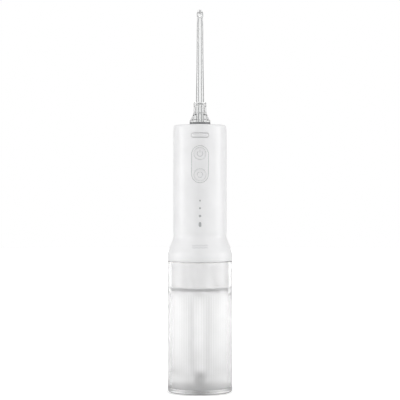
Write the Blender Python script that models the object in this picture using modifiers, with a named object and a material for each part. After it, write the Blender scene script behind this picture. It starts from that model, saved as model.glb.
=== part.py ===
"""A cordless water flosser: a white handle with a pump inside, a clear jet nozzle and a frosted tank.

Sizes below are in millimetres and are turned into metres where each piece is made. The origin is the
centre of the tank's foot, +Z runs up the handle, and the keys face -Y.
"""

import math

import bmesh
import bpy
from mathutils import Matrix, Vector

MM = 0.001
FINE = 40  # sides of the large round pieces
MEDIUM = 24
SMALL = 16
TINY = 10
GAP = 0.3  # between pieces that touch in the real object

# Tank
TANK_R = 27.9
COLLAR_R = 28.2
TANK_FLOOR = 3.8
MOUTH_R = 26.2
RIM_Z = 113.2

# Handle
HANDLE_R = 23.15
WALL = 2.0
SKIRT_Z = 113.5
FLARE_LOW_Z = 120.3
WAIST_Z = 134.5
WAIST_R = 22.7
HANDLE_TOP_Z = 231.2
TOP_WALL = 2.2
SOCKET_HOLE_R = 10.0
INNER_R = HANDLE_R - WALL

# Controls, on the front of the handle
PANEL_Z = 196.9
PANEL_WIDTH = 14.5
PANEL_HEIGHT = 32.0
KEY_R = 5.2
KEY_PITCH = 18.0
POWER_KEY_Z = PANEL_Z + KEY_PITCH / 2
MODE_KEY_Z = PANEL_Z - KEY_PITCH / 2
RELEASE_Z = 221.7
RELEASE_WIDTH = 15.5
RELEASE_HEIGHT = 4.2
WINDOWS = ((165.8, 0.65, 0.0), (159.3, 0.8, 0.0), (152.6, 1.0, 0.0), (145.4, 1.05, 2.0))  # z, radius, length
KEY_CLEARANCE = 0.2
PANEL_DEPTH = 1.6

# Nozzle
HUB_FOOT_Z = 231.6
HUB_TOP_Z = 250.9
SHANK_FOOT_Z = 212.5
SHANK_R = 2.9
TUBE_LOW_R = 3.45
TUBE_TOP_R = 2.7
BEND_START_Z = 314.3
BEND_R = 16.0
BEND_ANGLE = math.radians(45)
STRAIGHT_AFTER_BEND = 1.0
TIP_GAP = 0.15

# Neck that goes into the tank
NECK_R = 25.9
NECK_FOOT_Z = 86.0
NECK_TOP_Z = 117.0
SEAL_LOW_Z = 88.2
SEAL_HIGH_Z = 90.8
PICKUP_HOLE_R = 3.9
NECK_FLOOR = 2.8
SCREW_CIRCLE_R = 22.2
SCREW_ANGLES = (33, 153, 273)

# Drive
DECK_Z = 117.3
DECK_THICKNESS = 2.8
MOTOR_Y = 4.0
MOTOR_R = 11.0
MOTOR_FOOT_Z = 120.4
MOTOR_TOP_Z = 150.4
MODULE = 0.5
PINION_TEETH = 10
GEAR_TEETH = 40
PINION_R = MODULE * PINION_TEETH / 2
GEAR_R = MODULE * GEAR_TEETH / 2
GEAR_Y = MOTOR_Y - PINION_R - GEAR_R
GEAR_LOW_Z = 112.6
GEAR_HIGH_Z = 116.6
CRANK_THROW = 3.0
PUMP_Z = 107.2
PISTON_R = 3.5
CYLINDER_BORE_R = 3.65
CYLINDER_R = 4.7
HEAD_X = 18.4
BARB_R = 1.45  # spigots that the hoses are pushed on to
VALVE_PITCH = 5.6

# Power
CELL_Y = 10.3
CELL_R = 9.1
CELL_FOOT_Z = 152.0
CELL_TOP_Z = 202.0
BOARD_Y = -14.4
BOARD_THICKNESS = 1.2
WIRE_R = 0.45
PORT_Z = 141.0
COVER_HINGE_Z = 146.4
COVER_HINGE_Y = 23.0
SEAT_Z = 207.0  # foot of the housing that the nozzle's seat turns in
SEAT_PORT_Z = SEAT_Z + 5.4
SPRING_Z = 219.8
FORK_Z = 222.0
SOCKET_BODY_R = 6.0
HOUSING_BORE_R = 6.3
HOUSING_R = 8.4


# ---------------------------------------------------------------- tools


def clear_scene():
    for thing in list(bpy.data.objects):
        bpy.data.objects.remove(thing)


def new_collection(name):
    made = bpy.data.collections.new(name)
    bpy.context.scene.collection.children.link(made)
    return made


def new_material(name, colour, roughness, metallic=0.0, alpha=1.0):
    made = bpy.data.materials.new(name)
    made.use_nodes = True
    shader = made.node_tree.nodes["Principled BSDF"]
    shader.inputs["Base Color"].default_value = (*colour, 1.0)
    shader.inputs["Roughness"].default_value = roughness
    shader.inputs["Metallic"].default_value = metallic
    shader.inputs["Alpha"].default_value = alpha
    return made


def finish(obj, material):
    """Puts a piece in the object's collection and gives it its material."""
    for holder in list(obj.users_collection):
        holder.objects.unlink(obj)
    PIECES.objects.link(obj)
    obj.data.materials.clear()
    obj.data.materials.append(material)
    return obj


def as_cutter(obj):
    for holder in list(obj.users_collection):
        holder.objects.unlink(obj)
    CUTTERS.objects.link(obj)
    obj.hide_render = True
    obj.display_type = "WIRE"
    return obj


def shade_round(obj):
    obj.data.shade_smooth()
    return obj


def turned(name, profile, material=None, sides=FINE, at=(0, 0, 0), turn=(0, 0, 0), ring=False):
    """A turned piece. The profile's points are (radius, height), down the outside from the top.

    A ring's profile is a closed loop. Any other profile starts and ends on the axis.
    """
    count = len(profile)
    edges = [(i, i + 1) for i in range(count - 1)]
    if ring:
        edges.append((count - 1, 0))
    mesh = bpy.data.meshes.new(name)
    mesh.from_pydata([(r * MM, 0, z * MM) for r, z in profile], edges, [])
    obj = bpy.data.objects.new(name, mesh)
    bpy.context.scene.collection.objects.link(obj)
    screw = obj.modifiers.new("turn", "SCREW")
    screw.steps = screw.render_steps = sides
    screw.use_merge_vertices = True
    screw.merge_threshold = 0.00001
    screw.use_smooth_shade = True
    obj.location = Vector(at) * MM
    obj.rotation_euler = turn
    if material:
        finish(obj, material)
    return obj


def rod(name, radius, low, high, material=None, sides=SMALL, at=(0, 0), turn=(0, 0, 0), hole=0.0, lift=0.0):
    """A round bar or, with a hole, a tube, between two heights on its own axis."""
    outside = [(radius, high), (radius, low)]
    if hole:
        profile = outside + [(hole, low), (hole, high)]
    else:
        profile = [(0, high)] + outside + [(0, low)]
    return turned(name, profile, material, sides, (at[0], at[1], lift), turn, ring=bool(hole))


def block(name, low, high, material=None, bevel=0.0):
    """A box between two corners, with its edges rounded."""
    low, high = Vector(low) * MM, Vector(high) * MM
    bpy.ops.mesh.primitive_cube_add(size=1, location=(low + high) / 2)
    obj = bpy.context.active_object
    obj.name = obj.data.name = name
    obj.data.transform(Matrix.Diagonal((*(high - low), 1)))
    if bevel:
        edge = obj.modifiers.new("edges", "BEVEL")
        edge.width = bevel * MM
        edge.segments = 2
    if material:
        finish(obj, material)
    return obj


def to_mesh(obj):
    """Turns a curve into a mesh object with its caps welded on."""
    graph = bpy.context.evaluated_depsgraph_get()
    mesh = bpy.data.meshes.new_from_object(obj.evaluated_get(graph), depsgraph=graph)
    weld(mesh)
    made = bpy.data.objects.new(obj.name, mesh)
    bpy.context.scene.collection.objects.link(made)
    made.matrix_world = obj.matrix_world
    name = obj.name
    bpy.data.objects.remove(obj)
    made.name = name
    return made


def weld(mesh):
    body = bmesh.new()
    body.from_mesh(mesh)
    bmesh.ops.remove_doubles(body, verts=body.verts, dist=0.000001)
    bmesh.ops.recalc_face_normals(body, faces=body.faces)
    body.to_mesh(mesh)
    body.free()


def plate(name, outlines, low, high, material=None, turn=(0, 0, 0), at=(0, 0, 0)):
    """A flat outline, with any holes as further outlines, made solid between two heights."""
    curve = bpy.data.curves.new(name, "CURVE")
    curve.dimensions = "2D"
    curve.fill_mode = "BOTH"
    curve.extrude = (high - low) / 2 * MM
    for outline in outlines:
        spline = curve.splines.new("POLY")
        spline.points.add(len(outline) - 1)
        for point, (x, y) in zip(spline.points, outline):
            point.co = (x * MM, y * MM, 0, 1)
        spline.use_cyclic_u = True
    obj = bpy.data.objects.new(name, curve)
    bpy.context.scene.collection.objects.link(obj)
    bpy.context.view_layer.update()
    made = to_mesh(obj)
    made.data.transform(Matrix.Translation((0, 0, (low + high) / 2 * MM)))
    made.location = Vector(at) * MM
    made.rotation_euler = turn
    if material:
        finish(made, material)
    return made


def circle(radius, sides):
    angles = [math.tau * i / sides for i in range(sides)]
    return [(radius * math.cos(a), radius * math.sin(a)) for a in angles]


def capsule(width, height, sides=TINY):
    """A slot outline with round ends, longer along its second axis, or along its first if it is wider."""
    radius = min(width, height) / 2
    upright = height >= width
    reach = (max(width, height) - 2 * radius) / 2
    points = []
    for end in (1, -1):
        for i in range(sides + 1):
            angle = math.pi * i / sides + (0 if end > 0 else math.pi)
            x, y = radius * math.cos(angle), radius * math.sin(angle) + end * reach
            points.append((x, y) if upright else (y, -x))
    return points


def front_plate(name, outline, low_y, high_y, z, material=None):
    """A plate whose outline is seen from the front, with x across and the second axis up."""
    return plate(name, [outline], -high_y, -low_y, material, (math.pi / 2, 0, 0), (0, 0, z))


def smooth_route(points, step=1.2):
    """Points along a Catmull-Rom curve through the route's own points."""
    knots = [Vector(p) for p in points]
    padded = [2 * knots[0] - knots[1]] + knots + [2 * knots[-1] - knots[-2]]
    route = []
    for a, b, c, d in zip(padded, padded[1:], padded[2:], padded[3:]):
        count = max(1, round((c - b).length / step))
        for i in range(count):
            t = i / count
            square, cube = 2 * a - 5 * b + 4 * c - d, 3 * b - a - 3 * c + d
            route.append(0.5 * (2 * b + (c - a) * t + square * t**2 + cube * t**3))
    return route + [knots[-1]]


def swept(name, route, radii, material=None, resolution=2, wall=0.0):
    """A tube along a route. Radii is one number, or one for each point. With a wall it is hollow."""
    curve = bpy.data.curves.new(name, "CURVE")
    curve.dimensions = "3D"
    curve.bevel_depth = MM
    curve.bevel_resolution = resolution
    curve.use_fill_caps = not wall
    if isinstance(radii, (int, float)):
        radii = [radii] * len(route)
    spline = curve.splines.new("POLY")
    spline.points.add(len(route) - 1)
    for point, place, radius in zip(spline.points, route, radii):
        point.co = (*(Vector(place) * MM), 1)
        point.radius = radius
    obj = bpy.data.objects.new(name, curve)
    bpy.context.scene.collection.objects.link(obj)
    bpy.context.view_layer.update()
    made = to_mesh(obj)
    if wall:
        skin = made.modifiers.new("wall", "SOLIDIFY")
        skin.thickness = wall * MM
        skin.offset = -1
    if material:
        finish(made, material)
    return shade_round(made)


def boolean(obj, other, operation="DIFFERENCE"):
    """Cuts, joins or intersects a piece with another shape, which becomes a hidden helper."""
    cut = obj.modifiers.new(operation.lower(), "BOOLEAN")
    cut.operation = operation
    cut.object = as_cutter(other)
    return obj


def on_empty(name, place, pieces):
    """Parents pieces to an empty on their joint's axis, without moving them."""
    empty = bpy.data.objects.new(name, None)
    empty.empty_display_size = 0.005
    empty.location = Vector(place) * MM
    PIECES.objects.link(empty)
    bpy.context.view_layer.update()
    for piece in pieces:
        piece.parent = empty
        piece.matrix_parent_inverse = empty.matrix_world.inverted()
    return empty


# ---------------------------------------------------------------- tank


def make_tank():
    corner = 2.5
    steps = 4
    foot = [
        (TANK_R - corner + corner * math.cos(a), corner - corner * math.sin(a))
        for a in (math.pi / 2 * i / steps for i in range(steps + 1))
    ]
    inside = [
        (0, TANK_FLOOR),
        (MOUTH_R - 2.5, TANK_FLOOR),
        (MOUTH_R - 0.7, TANK_FLOOR + 0.7),
        (MOUTH_R, TANK_FLOOR + 2.5),
        (MOUTH_R, RIM_Z),
    ]
    outside = [
        (COLLAR_R - 0.4, RIM_Z),
        (COLLAR_R, RIM_Z - 0.4),
        (COLLAR_R, SEAL_HIGH_Z + 0.7),
        (TANK_R, SEAL_HIGH_Z + 0.1),
        *foot,
        (23.0, 0),
        (22.2, 0.8),
        (0, 0.8),
    ]
    return turned("tank", inside + outside, FROSTED)


# ---------------------------------------------------------------- handle


def make_casing():
    outside = [
        (SOCKET_HOLE_R, HANDLE_TOP_Z),
        (HANDLE_R - 1.6, HANDLE_TOP_Z),
        (HANDLE_R - 0.7, HANDLE_TOP_Z - 0.4),
        (HANDLE_R - 0.35, HANDLE_TOP_Z - 1.5),
        (HANDLE_R, HANDLE_TOP_Z - 8.0),
        (HANDLE_R, WAIST_Z + 4.5),
        (WAIST_R, WAIST_Z),
        (COLLAR_R, FLARE_LOW_Z),
        (COLLAR_R, SKIRT_Z + 0.3),
        (COLLAR_R - 0.3, SKIRT_Z),
    ]
    inside = [
        (MOUTH_R, SKIRT_Z),
        (MOUTH_R, FLARE_LOW_Z - 0.3),
        (WAIST_R - WALL, WAIST_Z - 0.4),
        (INNER_R, WAIST_Z + 4.5),
        (INNER_R, HANDLE_TOP_Z - TOP_WALL),
        (SOCKET_HOLE_R, HANDLE_TOP_Z - TOP_WALL),
    ]
    casing = turned("handle_casing", outside + inside, WHITE, ring=True)
    front, back = -HANDLE_R - 2, -INNER_R + 6
    boolean(casing, front_plate("panel_cut", capsule(PANEL_WIDTH, PANEL_HEIGHT), front, back, PANEL_Z))
    outline = capsule(RELEASE_WIDTH, RELEASE_HEIGHT)
    boolean(casing, front_plate("release_cut", outline, front, back, RELEASE_Z))
    for number, (z, radius, length) in enumerate(WINDOWS):
        outline = capsule(2 * (radius + 0.15), 2 * (radius + 0.15) + length, 6)
        boolean(casing, front_plate(f"window_cut_{number}", outline, front, back, z))
    boolean(casing, front_plate("port_cut", capsule(10.2, 4.4, 8), INNER_R - 6, HANDLE_R + 2, PORT_Z))
    boolean(casing, back_pad("cover_pocket", 15.4, 10.9, HANDLE_R - 1.35, HANDLE_R + 3))


def back_pad(name, width, height, radius, outer, material=None):
    """A pad that lies on the back of the handle between two radii, for the port's cover and its pocket."""
    pad = front_plate(name, capsule(width, height, 8), 15.0, 30.0, PORT_Z + 0.5, material)
    shell = [(outer, 160), (outer, 120), (radius, 120), (radius, 160)]
    return boolean(pad, turned(name + "_shell", shell, sides=FINE, ring=True), "INTERSECT")


def make_panel():
    """The soft panel round the two keys, which follows the handle's curve."""
    outline = capsule(PANEL_WIDTH - 0.4, PANEL_HEIGHT - 0.4)
    panel = front_plate("button_panel", outline, -HANDLE_R - 2, -15, PANEL_Z, SOFT)
    high, low = PANEL_Z + 20, PANEL_Z - 20
    inner = HANDLE_R - PANEL_DEPTH
    shell = [(HANDLE_R, high), (HANDLE_R, low), (inner, low), (inner, high)]
    boolean(panel, turned("panel_shell", shell, ring=True), "INTERSECT")
    for number, z in enumerate((POWER_KEY_Z, MODE_KEY_Z)):
        hole = front_plate(f"key_hole_{number}", circle(KEY_R + KEY_CLEARANCE, MEDIUM), -30, -10, z)
        boolean(panel, hole)


def make_key(name, z):
    """A round key that follows the handle's curve, with the stem that reaches its switch."""
    key = front_plate(name, circle(KEY_R, MEDIUM), -HANDLE_R - 2, -15, z, SOFT)
    outer, inner = HANDLE_R - 0.1, HANDLE_R - 1.9
    shell = [(outer, z + 8), (outer, z - 8), (inner, z - 8), (inner, z + 8)]
    boolean(key, turned(name + "_shell", shell, ring=True), "INTERSECT")
    stem = rod(name + "_stem", 1.5, 0, 2.9, sides=TINY, turn=(math.pi / 2, 0, 0), at=(0, -19.1), lift=z)
    boolean(key, stem, "UNION")


def make_release():
    """The pill button with its inner flange, the fork that it pushes and its spring."""
    outline = capsule(RELEASE_WIDTH - 0.5, RELEASE_HEIGHT - 0.5)
    button = front_plate("release_button", outline, -30, -18, RELEASE_Z, GLOSS)
    high, low = RELEASE_Z + 10, RELEASE_Z - 10
    face, hidden = HANDLE_R + 0.25, INNER_R - 0.4
    boolean(button, turned("release_face", [(0, high), (face, high), (face, low), (0, low)]), "INTERSECT")
    flange = front_plate("release_flange", capsule(18.6, 6.8), -30, -17.6, RELEASE_Z)
    boolean(flange, turned("release_back", [(0, high), (hidden, high), (hidden, low), (0, low)]), "INTERSECT")
    boolean(button, flange, "UNION")

    throat, arm, front, back = 8.3, 9.0, -17.2, 7.0
    mouth = SOCKET_BODY_R + 0.5
    bend = [(x, y - throat + mouth) for x, y in circle(mouth, 20)[10:]] + [(mouth, mouth - throat)]
    right, left = [(-arm, front), (arm, front), (arm, back), (mouth, back)], [(-mouth, back), (-arm, back)]
    plate("latch_fork", [right + bend[::-1] + left], FORK_Z, FORK_Z + 1.4, STEEL)

    turns, coil, far = 4, 1.0, -13.2
    route = [
        (coil * math.cos(a), front + (far - front) * a / (math.tau * turns), SPRING_Z + coil * math.sin(a))
        for a in (math.tau * i / 10 for i in range(10 * turns + 1))
    ]
    swept("release_spring", route, 0.25, STEEL, resolution=1)


def make_light_guide():
    guide = block("light_guide", (-2.4, -20.7, 142.0), (2.4, -19.3, 168.4), CLEAR)
    for number, (z, radius, length) in enumerate(WINDOWS):
        outline = capsule(2 * radius, 2 * radius + length, 6)
        boolean(guide, front_plate(f"guide_stub_{number}", outline, -23.0, -20.2, z), "UNION")


def make_neck():
    """The cup that closes the handle from below, plugs the tank and carries the drive."""
    outside = [
        (NECK_R, NECK_TOP_Z),
        (NECK_R, SEAL_HIGH_Z),
        (24.6, SEAL_HIGH_Z),
        (24.6, SEAL_LOW_Z),
        (25.6, SEAL_LOW_Z),
        (25.6, NECK_FOOT_Z + 0.5),
        (25.1, NECK_FOOT_Z),
        (PICKUP_HOLE_R, NECK_FOOT_Z),
    ]
    inside = [
        (PICKUP_HOLE_R, NECK_FOOT_Z + NECK_FLOOR),
        (23.0, NECK_FOOT_Z + NECK_FLOOR),
        (23.0, SEAL_HIGH_Z + 1.5),
        (24.0, SEAL_HIGH_Z + 2.5),
        (24.0, NECK_TOP_Z),
    ]
    neck = turned("base_neck", outside + inside, WHITE, ring=True)
    for number, (x, y) in enumerate(SCREW_PLACES):
        boss = rod(f"neck_boss_{number}", 2.2, 104, NECK_TOP_Z - 0.2, sides=TINY, at=(x, y))
        boolean(neck, boss, "UNION")
        boolean(neck, rod(f"boss_hole_{number}", 0.95, 107, 125, sides=TINY, at=(x, y)))
    seal = ring_profile(24.75, 26.05, SEAL_LOW_Z + 0.1, SEAL_HIGH_Z - 0.1, 0.4)
    turned("neck_seal", seal, RUBBER, ring=True)


def ring_profile(inner, outer, low, high, chamfer=0.3):
    return [
        (inner, high),
        (outer - chamfer, high),
        (outer, high - chamfer),
        (outer, low + chamfer),
        (outer - chamfer, low),
        (inner, low),
    ]


# ---------------------------------------------------------------- pickup


def make_pickup():
    turned(
        "pickup_tube",
        [(1.5, 93.2), (1.5, 89.6), (1.7, 89.6), (1.7, 12.0), (1.0, 12.0), (1.0, 93.2)],
        CLEAR,
        SMALL,
        ring=True,
    )
    rod("tube_grommet", 3.7, NECK_FOOT_Z - 0.2, NECK_FOOT_Z + 3.0, RUBBER, SMALL, hole=1.9)
    turned(
        "tube_connector",
        [(4.2, 85.4), (4.7, 84.9), (4.7, 77.0), (3.4, 75.6), (2.0, 75.6), (2.0, 85.4)],
        WHITE,
        MEDIUM,
        ring=True,
    )
    cage_inside = [(0, 7.0), (3.6, 7.0), (3.6, 16.4), (2.0, 16.4), (2.0, 18.8)]
    cage_outside = [(4.0, 18.8), (4.7, 18), (4.7, 6), (4.1, 5.2), (0, 5.2)]
    cage = turned("intake_filter", cage_inside + cage_outside, GREY, MEDIUM)
    for number in range(3):
        slot = block(f"filter_slot_{number}", (-6, -0.7, 8.2), (6, 0.7, 14.8))
        slot.rotation_euler.z = math.pi * number / 3
        boolean(cage, slot)


# ---------------------------------------------------------------- drive


def gear_outline(teeth, addendum, dedendum, backlash, phase=0.0, flank_points=3):
    """An involute gear's outline, with a tooth centred on the direction of phase."""
    pitch = MODULE * teeth / 2
    pressure = math.radians(20)
    base = pitch * math.cos(pressure)
    tip, root = pitch + addendum, pitch - dedendum

    def swing(radius):
        """How far the flank at this radius lies from the flank's foot, as an angle."""
        if radius <= base:
            return 0.0
        return math.sqrt((radius / base) ** 2 - 1) - math.acos(base / radius)

    half_tooth = math.pi / (2 * teeth) - backlash / (2 * pitch) + swing(pitch)
    start = max(root, base)
    radii = [root] if root < base else []
    radii += [start + (tip - start) * i / flank_points for i in range(flank_points + 1)]
    points = []
    for tooth in range(teeth):
        middle = phase + math.tau * tooth / teeth
        rising = [(r, middle - half_tooth + swing(r)) for r in radii]
        falling = [(r, middle + half_tooth - swing(r)) for r in reversed(radii)]
        points += [(r * math.cos(a), r * math.sin(a)) for r, a in rising + falling]
    return points


def make_gears():
    pinion = gear_outline(PINION_TEETH, 0.45, 0.62, 0.16, -math.pi / 2, 2)
    plate("pinion", [pinion, circle(1.05, TINY)], 112.0, 117.0, BRASS, at=(0, MOTOR_Y, 0))
    half_pitch = math.pi / GEAR_TEETH
    teeth = gear_outline(GEAR_TEETH, 0.28, 0.6, 0.16, math.pi / 2 + half_pitch, 1)
    gear = plate("pump_gear", [teeth, circle(1.65, TINY)], GEAR_LOW_Z, GEAR_HIGH_Z, NYLON, at=(0, GEAR_Y, 0))
    pin = rod("crank_pin", 1.2, 109.1, GEAR_LOW_Z + 1, sides=TINY, at=(0, GEAR_Y - CRANK_THROW))
    boolean(gear, pin, "UNION")
    rod("gear_axle", 1.5, 111.5, DECK_Z + DECK_THICKNESS, STEEL, TINY, at=(0, GEAR_Y))


def make_motor():
    turned(
        "motor_can",
        [
            (MOTOR_R, MOTOR_TOP_Z - 3.2),
            (MOTOR_R, MOTOR_FOOT_Z + 0.6),
            (MOTOR_R - 0.6, MOTOR_FOOT_Z),
            (3.0, MOTOR_FOOT_Z),
            (3.0, MOTOR_FOOT_Z - 1.6),
            (1.2, MOTOR_FOOT_Z - 1.6),
            (1.2, MOTOR_FOOT_Z + 1.0),
            (MOTOR_R - 1.0, MOTOR_FOOT_Z + 1.0),
            (MOTOR_R - 1.0, MOTOR_TOP_Z - 3.2),
        ],
        STEEL,
        MEDIUM,
        (0, MOTOR_Y, 0),
        ring=True,
    )
    turned(
        "motor_end_cap",
        [
            (0, MOTOR_TOP_Z),
            (MOTOR_R - 0.4, MOTOR_TOP_Z),
            (MOTOR_R, MOTOR_TOP_Z - 0.4),
            (MOTOR_R, MOTOR_TOP_Z - 2.9),
            (0, MOTOR_TOP_Z - 2.9),
        ],
        NYLON,
        MEDIUM,
        (0, MOTOR_Y, 0),
    )
    rod("motor_shaft", 0.95, 111.6, 144.8, STEEL, TINY, at=(0, MOTOR_Y))
    rod("motor_armature", 8.2, 124.0, 143.0, COPPER, SMALL, at=(0, MOTOR_Y), hole=1.05)


def make_pump():
    across = (0, math.pi / 2, 0)  # turns a piece's own +Z to +X
    place = (0, GEAR_Y, PUMP_Z)
    cylinder = turned(
        "pump_cylinder",
        [(CYLINDER_R, 16.6), (CYLINDER_R, 6.7), (CYLINDER_BORE_R, 6.7), (CYLINDER_BORE_R, 16.6)],
        NYLON,
        MEDIUM,
        place,
        across,
        ring=True,
    )
    lug = block("cylinder_lug", (11.6, GEAR_Y - 2.5, PUMP_Z + 4.2), (15.6, GEAR_Y + 2.5, DECK_Z - 0.3))
    boolean(cylinder, lug, "UNION")

    head = block("pump_head", (16.9, -12.5, 102.2), (19.9, -4.5, 112.2), NYLON, 0.5)
    for number, (low, high) in enumerate(((98.4, 103.5), (111.0, 116.2))):
        barb = rod(f"head_barb_{number}", BARB_R, low, high, sides=TINY, at=(HEAD_X, GEAR_Y))
        boolean(head, barb, "UNION")
    passage, pocket = 0.9, 1.25
    bore = [(0, 125), (passage, 125)]
    for low, high in ((109.0, 111.0), (103.4, 105.4)):
        bore += [(passage, high), (pocket, high), (pocket, low), (passage, low)]
    bore += [(passage, 90), (0, 90)]
    boolean(head, turned("head_bore", bore, sides=TINY, at=(HEAD_X, GEAR_Y, 0)))
    inlet = [(0, 105.2), (0.5, 105.2), (1.1, 104.2), (1.1, 103.6), (0, 103.6)]
    turned("inlet_valve", inlet, RUBBER, TINY, (HEAD_X, GEAR_Y, 0))
    outlet = [(r, z + VALVE_PITCH) for r, z in inlet]
    turned("outlet_valve", outlet, RUBBER, TINY, (HEAD_X, GEAR_Y, 0))

    slot_half, slot_reach, rim = 1.45, 4.6, 1.9
    frame = [
        (slot_half + rim, slot_reach + rim),
        (-slot_half - rim, slot_reach + rim),
        (-slot_half - rim, -slot_reach - rim),
        (slot_half + rim, -slot_reach - rim),
    ]
    slot = [(x - math.copysign(rim, x), y - math.copysign(rim, y)) for x, y in frame]
    yoke = plate("piston_yoke", [frame, slot], PUMP_Z - 1.5, PUMP_Z + 1.5, STEEL, at=(0, GEAR_Y, 0))
    foot = slot_half + rim - 0.5
    stem = rod("yoke_stem", 1.2, foot, 9.6, sides=TINY, turn=across, at=place[:2], lift=PUMP_Z)
    boolean(yoke, stem, "UNION")
    turned(
        "piston",
        [
            (0, 13.0),
            (PISTON_R, 13.0),
            (PISTON_R, 12.1),
            (PISTON_R - 0.7, 12.1),
            (PISTON_R - 0.7, 10.9),
            (PISTON_R, 10.9),
            (PISTON_R, 9.9),
            (0, 9.9),
        ],
        NYLON,
        SMALL,
        place,
        across,
    )
    seal = ring_profile(PISTON_R - 0.6, PISTON_R + 0.05, 11.0, 12.0, 0.2)
    turned("piston_seal", seal, RUBBER, SMALL, place, across, ring=True)


def make_hoses():
    inlet = [
        (HEAD_X, GEAR_Y, 102.0),
        (HEAD_X - 0.1, GEAR_Y + 0.1, 97.6),
        (15.4, -7.1, 94.4),
        (10.4, -4.8, 94.9),
        (6.0, -2.8, 98.0),
        (2.4, -1.1, 99.6),
        (0.2, -0.1, 97.4),
        (0, 0, 90.2),
    ]
    swept("inlet_hose", smooth_route(inlet, 2.6), 2.5, SILICONE, 2, wall=0.7)
    outlet = [
        (HEAD_X, GEAR_Y, 112.6),
        (HEAD_X, GEAR_Y, 118.0),
        (HEAD_X - 0.4, GEAR_Y + 0.2, 124.0),
        (16.2, -7.6, 134.0),
        (15.8, -7.5, 145.0),
        (15.8, -7.5, 175.0),
        (15.8, -6.5, 192.0),
        (15.9, -3.0, 203.0),
        (15.2, -0.6, 209.4),
        (12.2, 0, SEAT_PORT_Z - 0.2),
        (9.2, 0, SEAT_PORT_Z),
    ]
    swept("outlet_hose", smooth_route(outlet, 4.5), 2.4, SILICONE, 2, wall=0.6)


# ---------------------------------------------------------------- chassis and power


def make_chassis():
    """The deck that carries the motor, with the spine that holds the cell, the board and the socket."""
    deck = rod("chassis", 24.2, DECK_Z, DECK_Z + DECK_THICKNESS, NYLON, FINE)
    spine = block("spine", (-9, -12.6, DECK_Z + 1), (9, -11.0, 221.4))
    boolean(deck, spine, "UNION")
    for number, z in enumerate((156.0, 196.0)):
        boolean(deck, block(f"cradle_{number}", (-12.6, -12.0, z), (12.6, 9.0, z + 2.0)), "UNION")
    boolean(deck, block("shelf", (-9, -12.0, 204.9), (9, 9.0, 206.5)), "UNION")
    boolean(deck, rod("cell_space", CELL_R + 0.4, 150, 203.0, sides=MEDIUM, at=(0, CELL_Y)))
    boolean(deck, rod("boss_space", 3.4, 110, 125, sides=SMALL, at=(0, MOTOR_Y)))
    boolean(deck, rod("axle_hole", 1.8, 110, 125, sides=TINY, at=(0, GEAR_Y)))
    boolean(deck, rod("hose_notch", 3.4, 110, 125, sides=SMALL, at=(HEAD_X, GEAR_Y)))
    boolean(deck, block("hose_notch_mouth", (HEAD_X, GEAR_Y - 3.1, 111), (30, GEAR_Y + 3.1, 124)))
    seat = DECK_Z + DECK_THICKNESS + GAP
    screw = [
        (0, seat + 1.1),
        (1.6, seat + 1.1),
        (2.1, seat + 0.5),
        (2.1, seat),
        (0.75, seat),
        (0.75, 108),
        (0, 107.4),
    ]
    for number, (x, y) in enumerate(SCREW_PLACES):
        boolean(deck, rod(f"deck_hole_{number}", 1.5, 110, 125, sides=TINY, at=(x, y)))
        turned(f"chassis_screw_{number + 1}", screw, STEEL, TINY, (x, y, 0))


def make_power():
    turned(
        "battery_cell",
        [
            (0, CELL_TOP_Z),
            (2.8, CELL_TOP_Z),
            (2.8, CELL_TOP_Z - 0.8),
            (CELL_R - 0.4, CELL_TOP_Z - 0.8),
            (CELL_R, CELL_TOP_Z - 1.3),
            (CELL_R, CELL_FOOT_Z + 0.4),
            (CELL_R - 0.4, CELL_FOOT_Z),
            (0, CELL_FOOT_Z),
        ],
        WRAP,
        MEDIUM,
        (0, CELL_Y, 0),
    )
    block("cell_tab_top", (-2.5, -8, CELL_TOP_Z + 0.3), (2.5, 13, CELL_TOP_Z + 0.6), STEEL)
    block("cell_tab_bottom", (-2.5, -8, CELL_FOOT_Z - 0.6), (2.5, 13, CELL_FOOT_Z - 0.3), STEEL)
    board_back = BOARD_Y + BOARD_THICKNESS
    block("control_board", (-8, BOARD_Y, 140.0), (8, board_back, 214.0), BOARD)
    forward = (math.pi / 2, 0, 0)  # turns a piece's own +Z to -Y
    for name, z in (("power_switch", POWER_KEY_Z), ("mode_switch", MODE_KEY_Z)):
        switch = block(name, (-3, BOARD_Y - 3.0, z - 3), (3, BOARD_Y - GAP, z + 3), GREY)
        plunger = rod(name + "_plunger", 1.6, 0, 1.6, sides=TINY, turn=forward, at=(0, BOARD_Y - 2.5), lift=z)
        boolean(switch, plunger, "UNION")
    for number, window in enumerate(WINDOWS):
        z = window[0]
        block(f"led_{number + 1}", (-0.8, BOARD_Y - 1.1, z - 0.6), (0.8, BOARD_Y - GAP, z + 0.6), LAMP)
    block("charge_board", (-6, 15.4, PORT_Z - 3.0), (6, 20.0, PORT_Z - 2.0), BOARD)
    port = front_plate("charge_port", capsule(8.9, 3.2, 8), 15.6, 21.2, PORT_Z, STEEL)
    boolean(port, front_plate("port_mouth", capsule(8.3, 2.6, 8), 16.6, 30, PORT_Z))
    block("port_tongue", (-3.3, 16.9, PORT_Z - 0.35), (3.3, 20.6, PORT_Z + 0.35), GREY)


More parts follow.
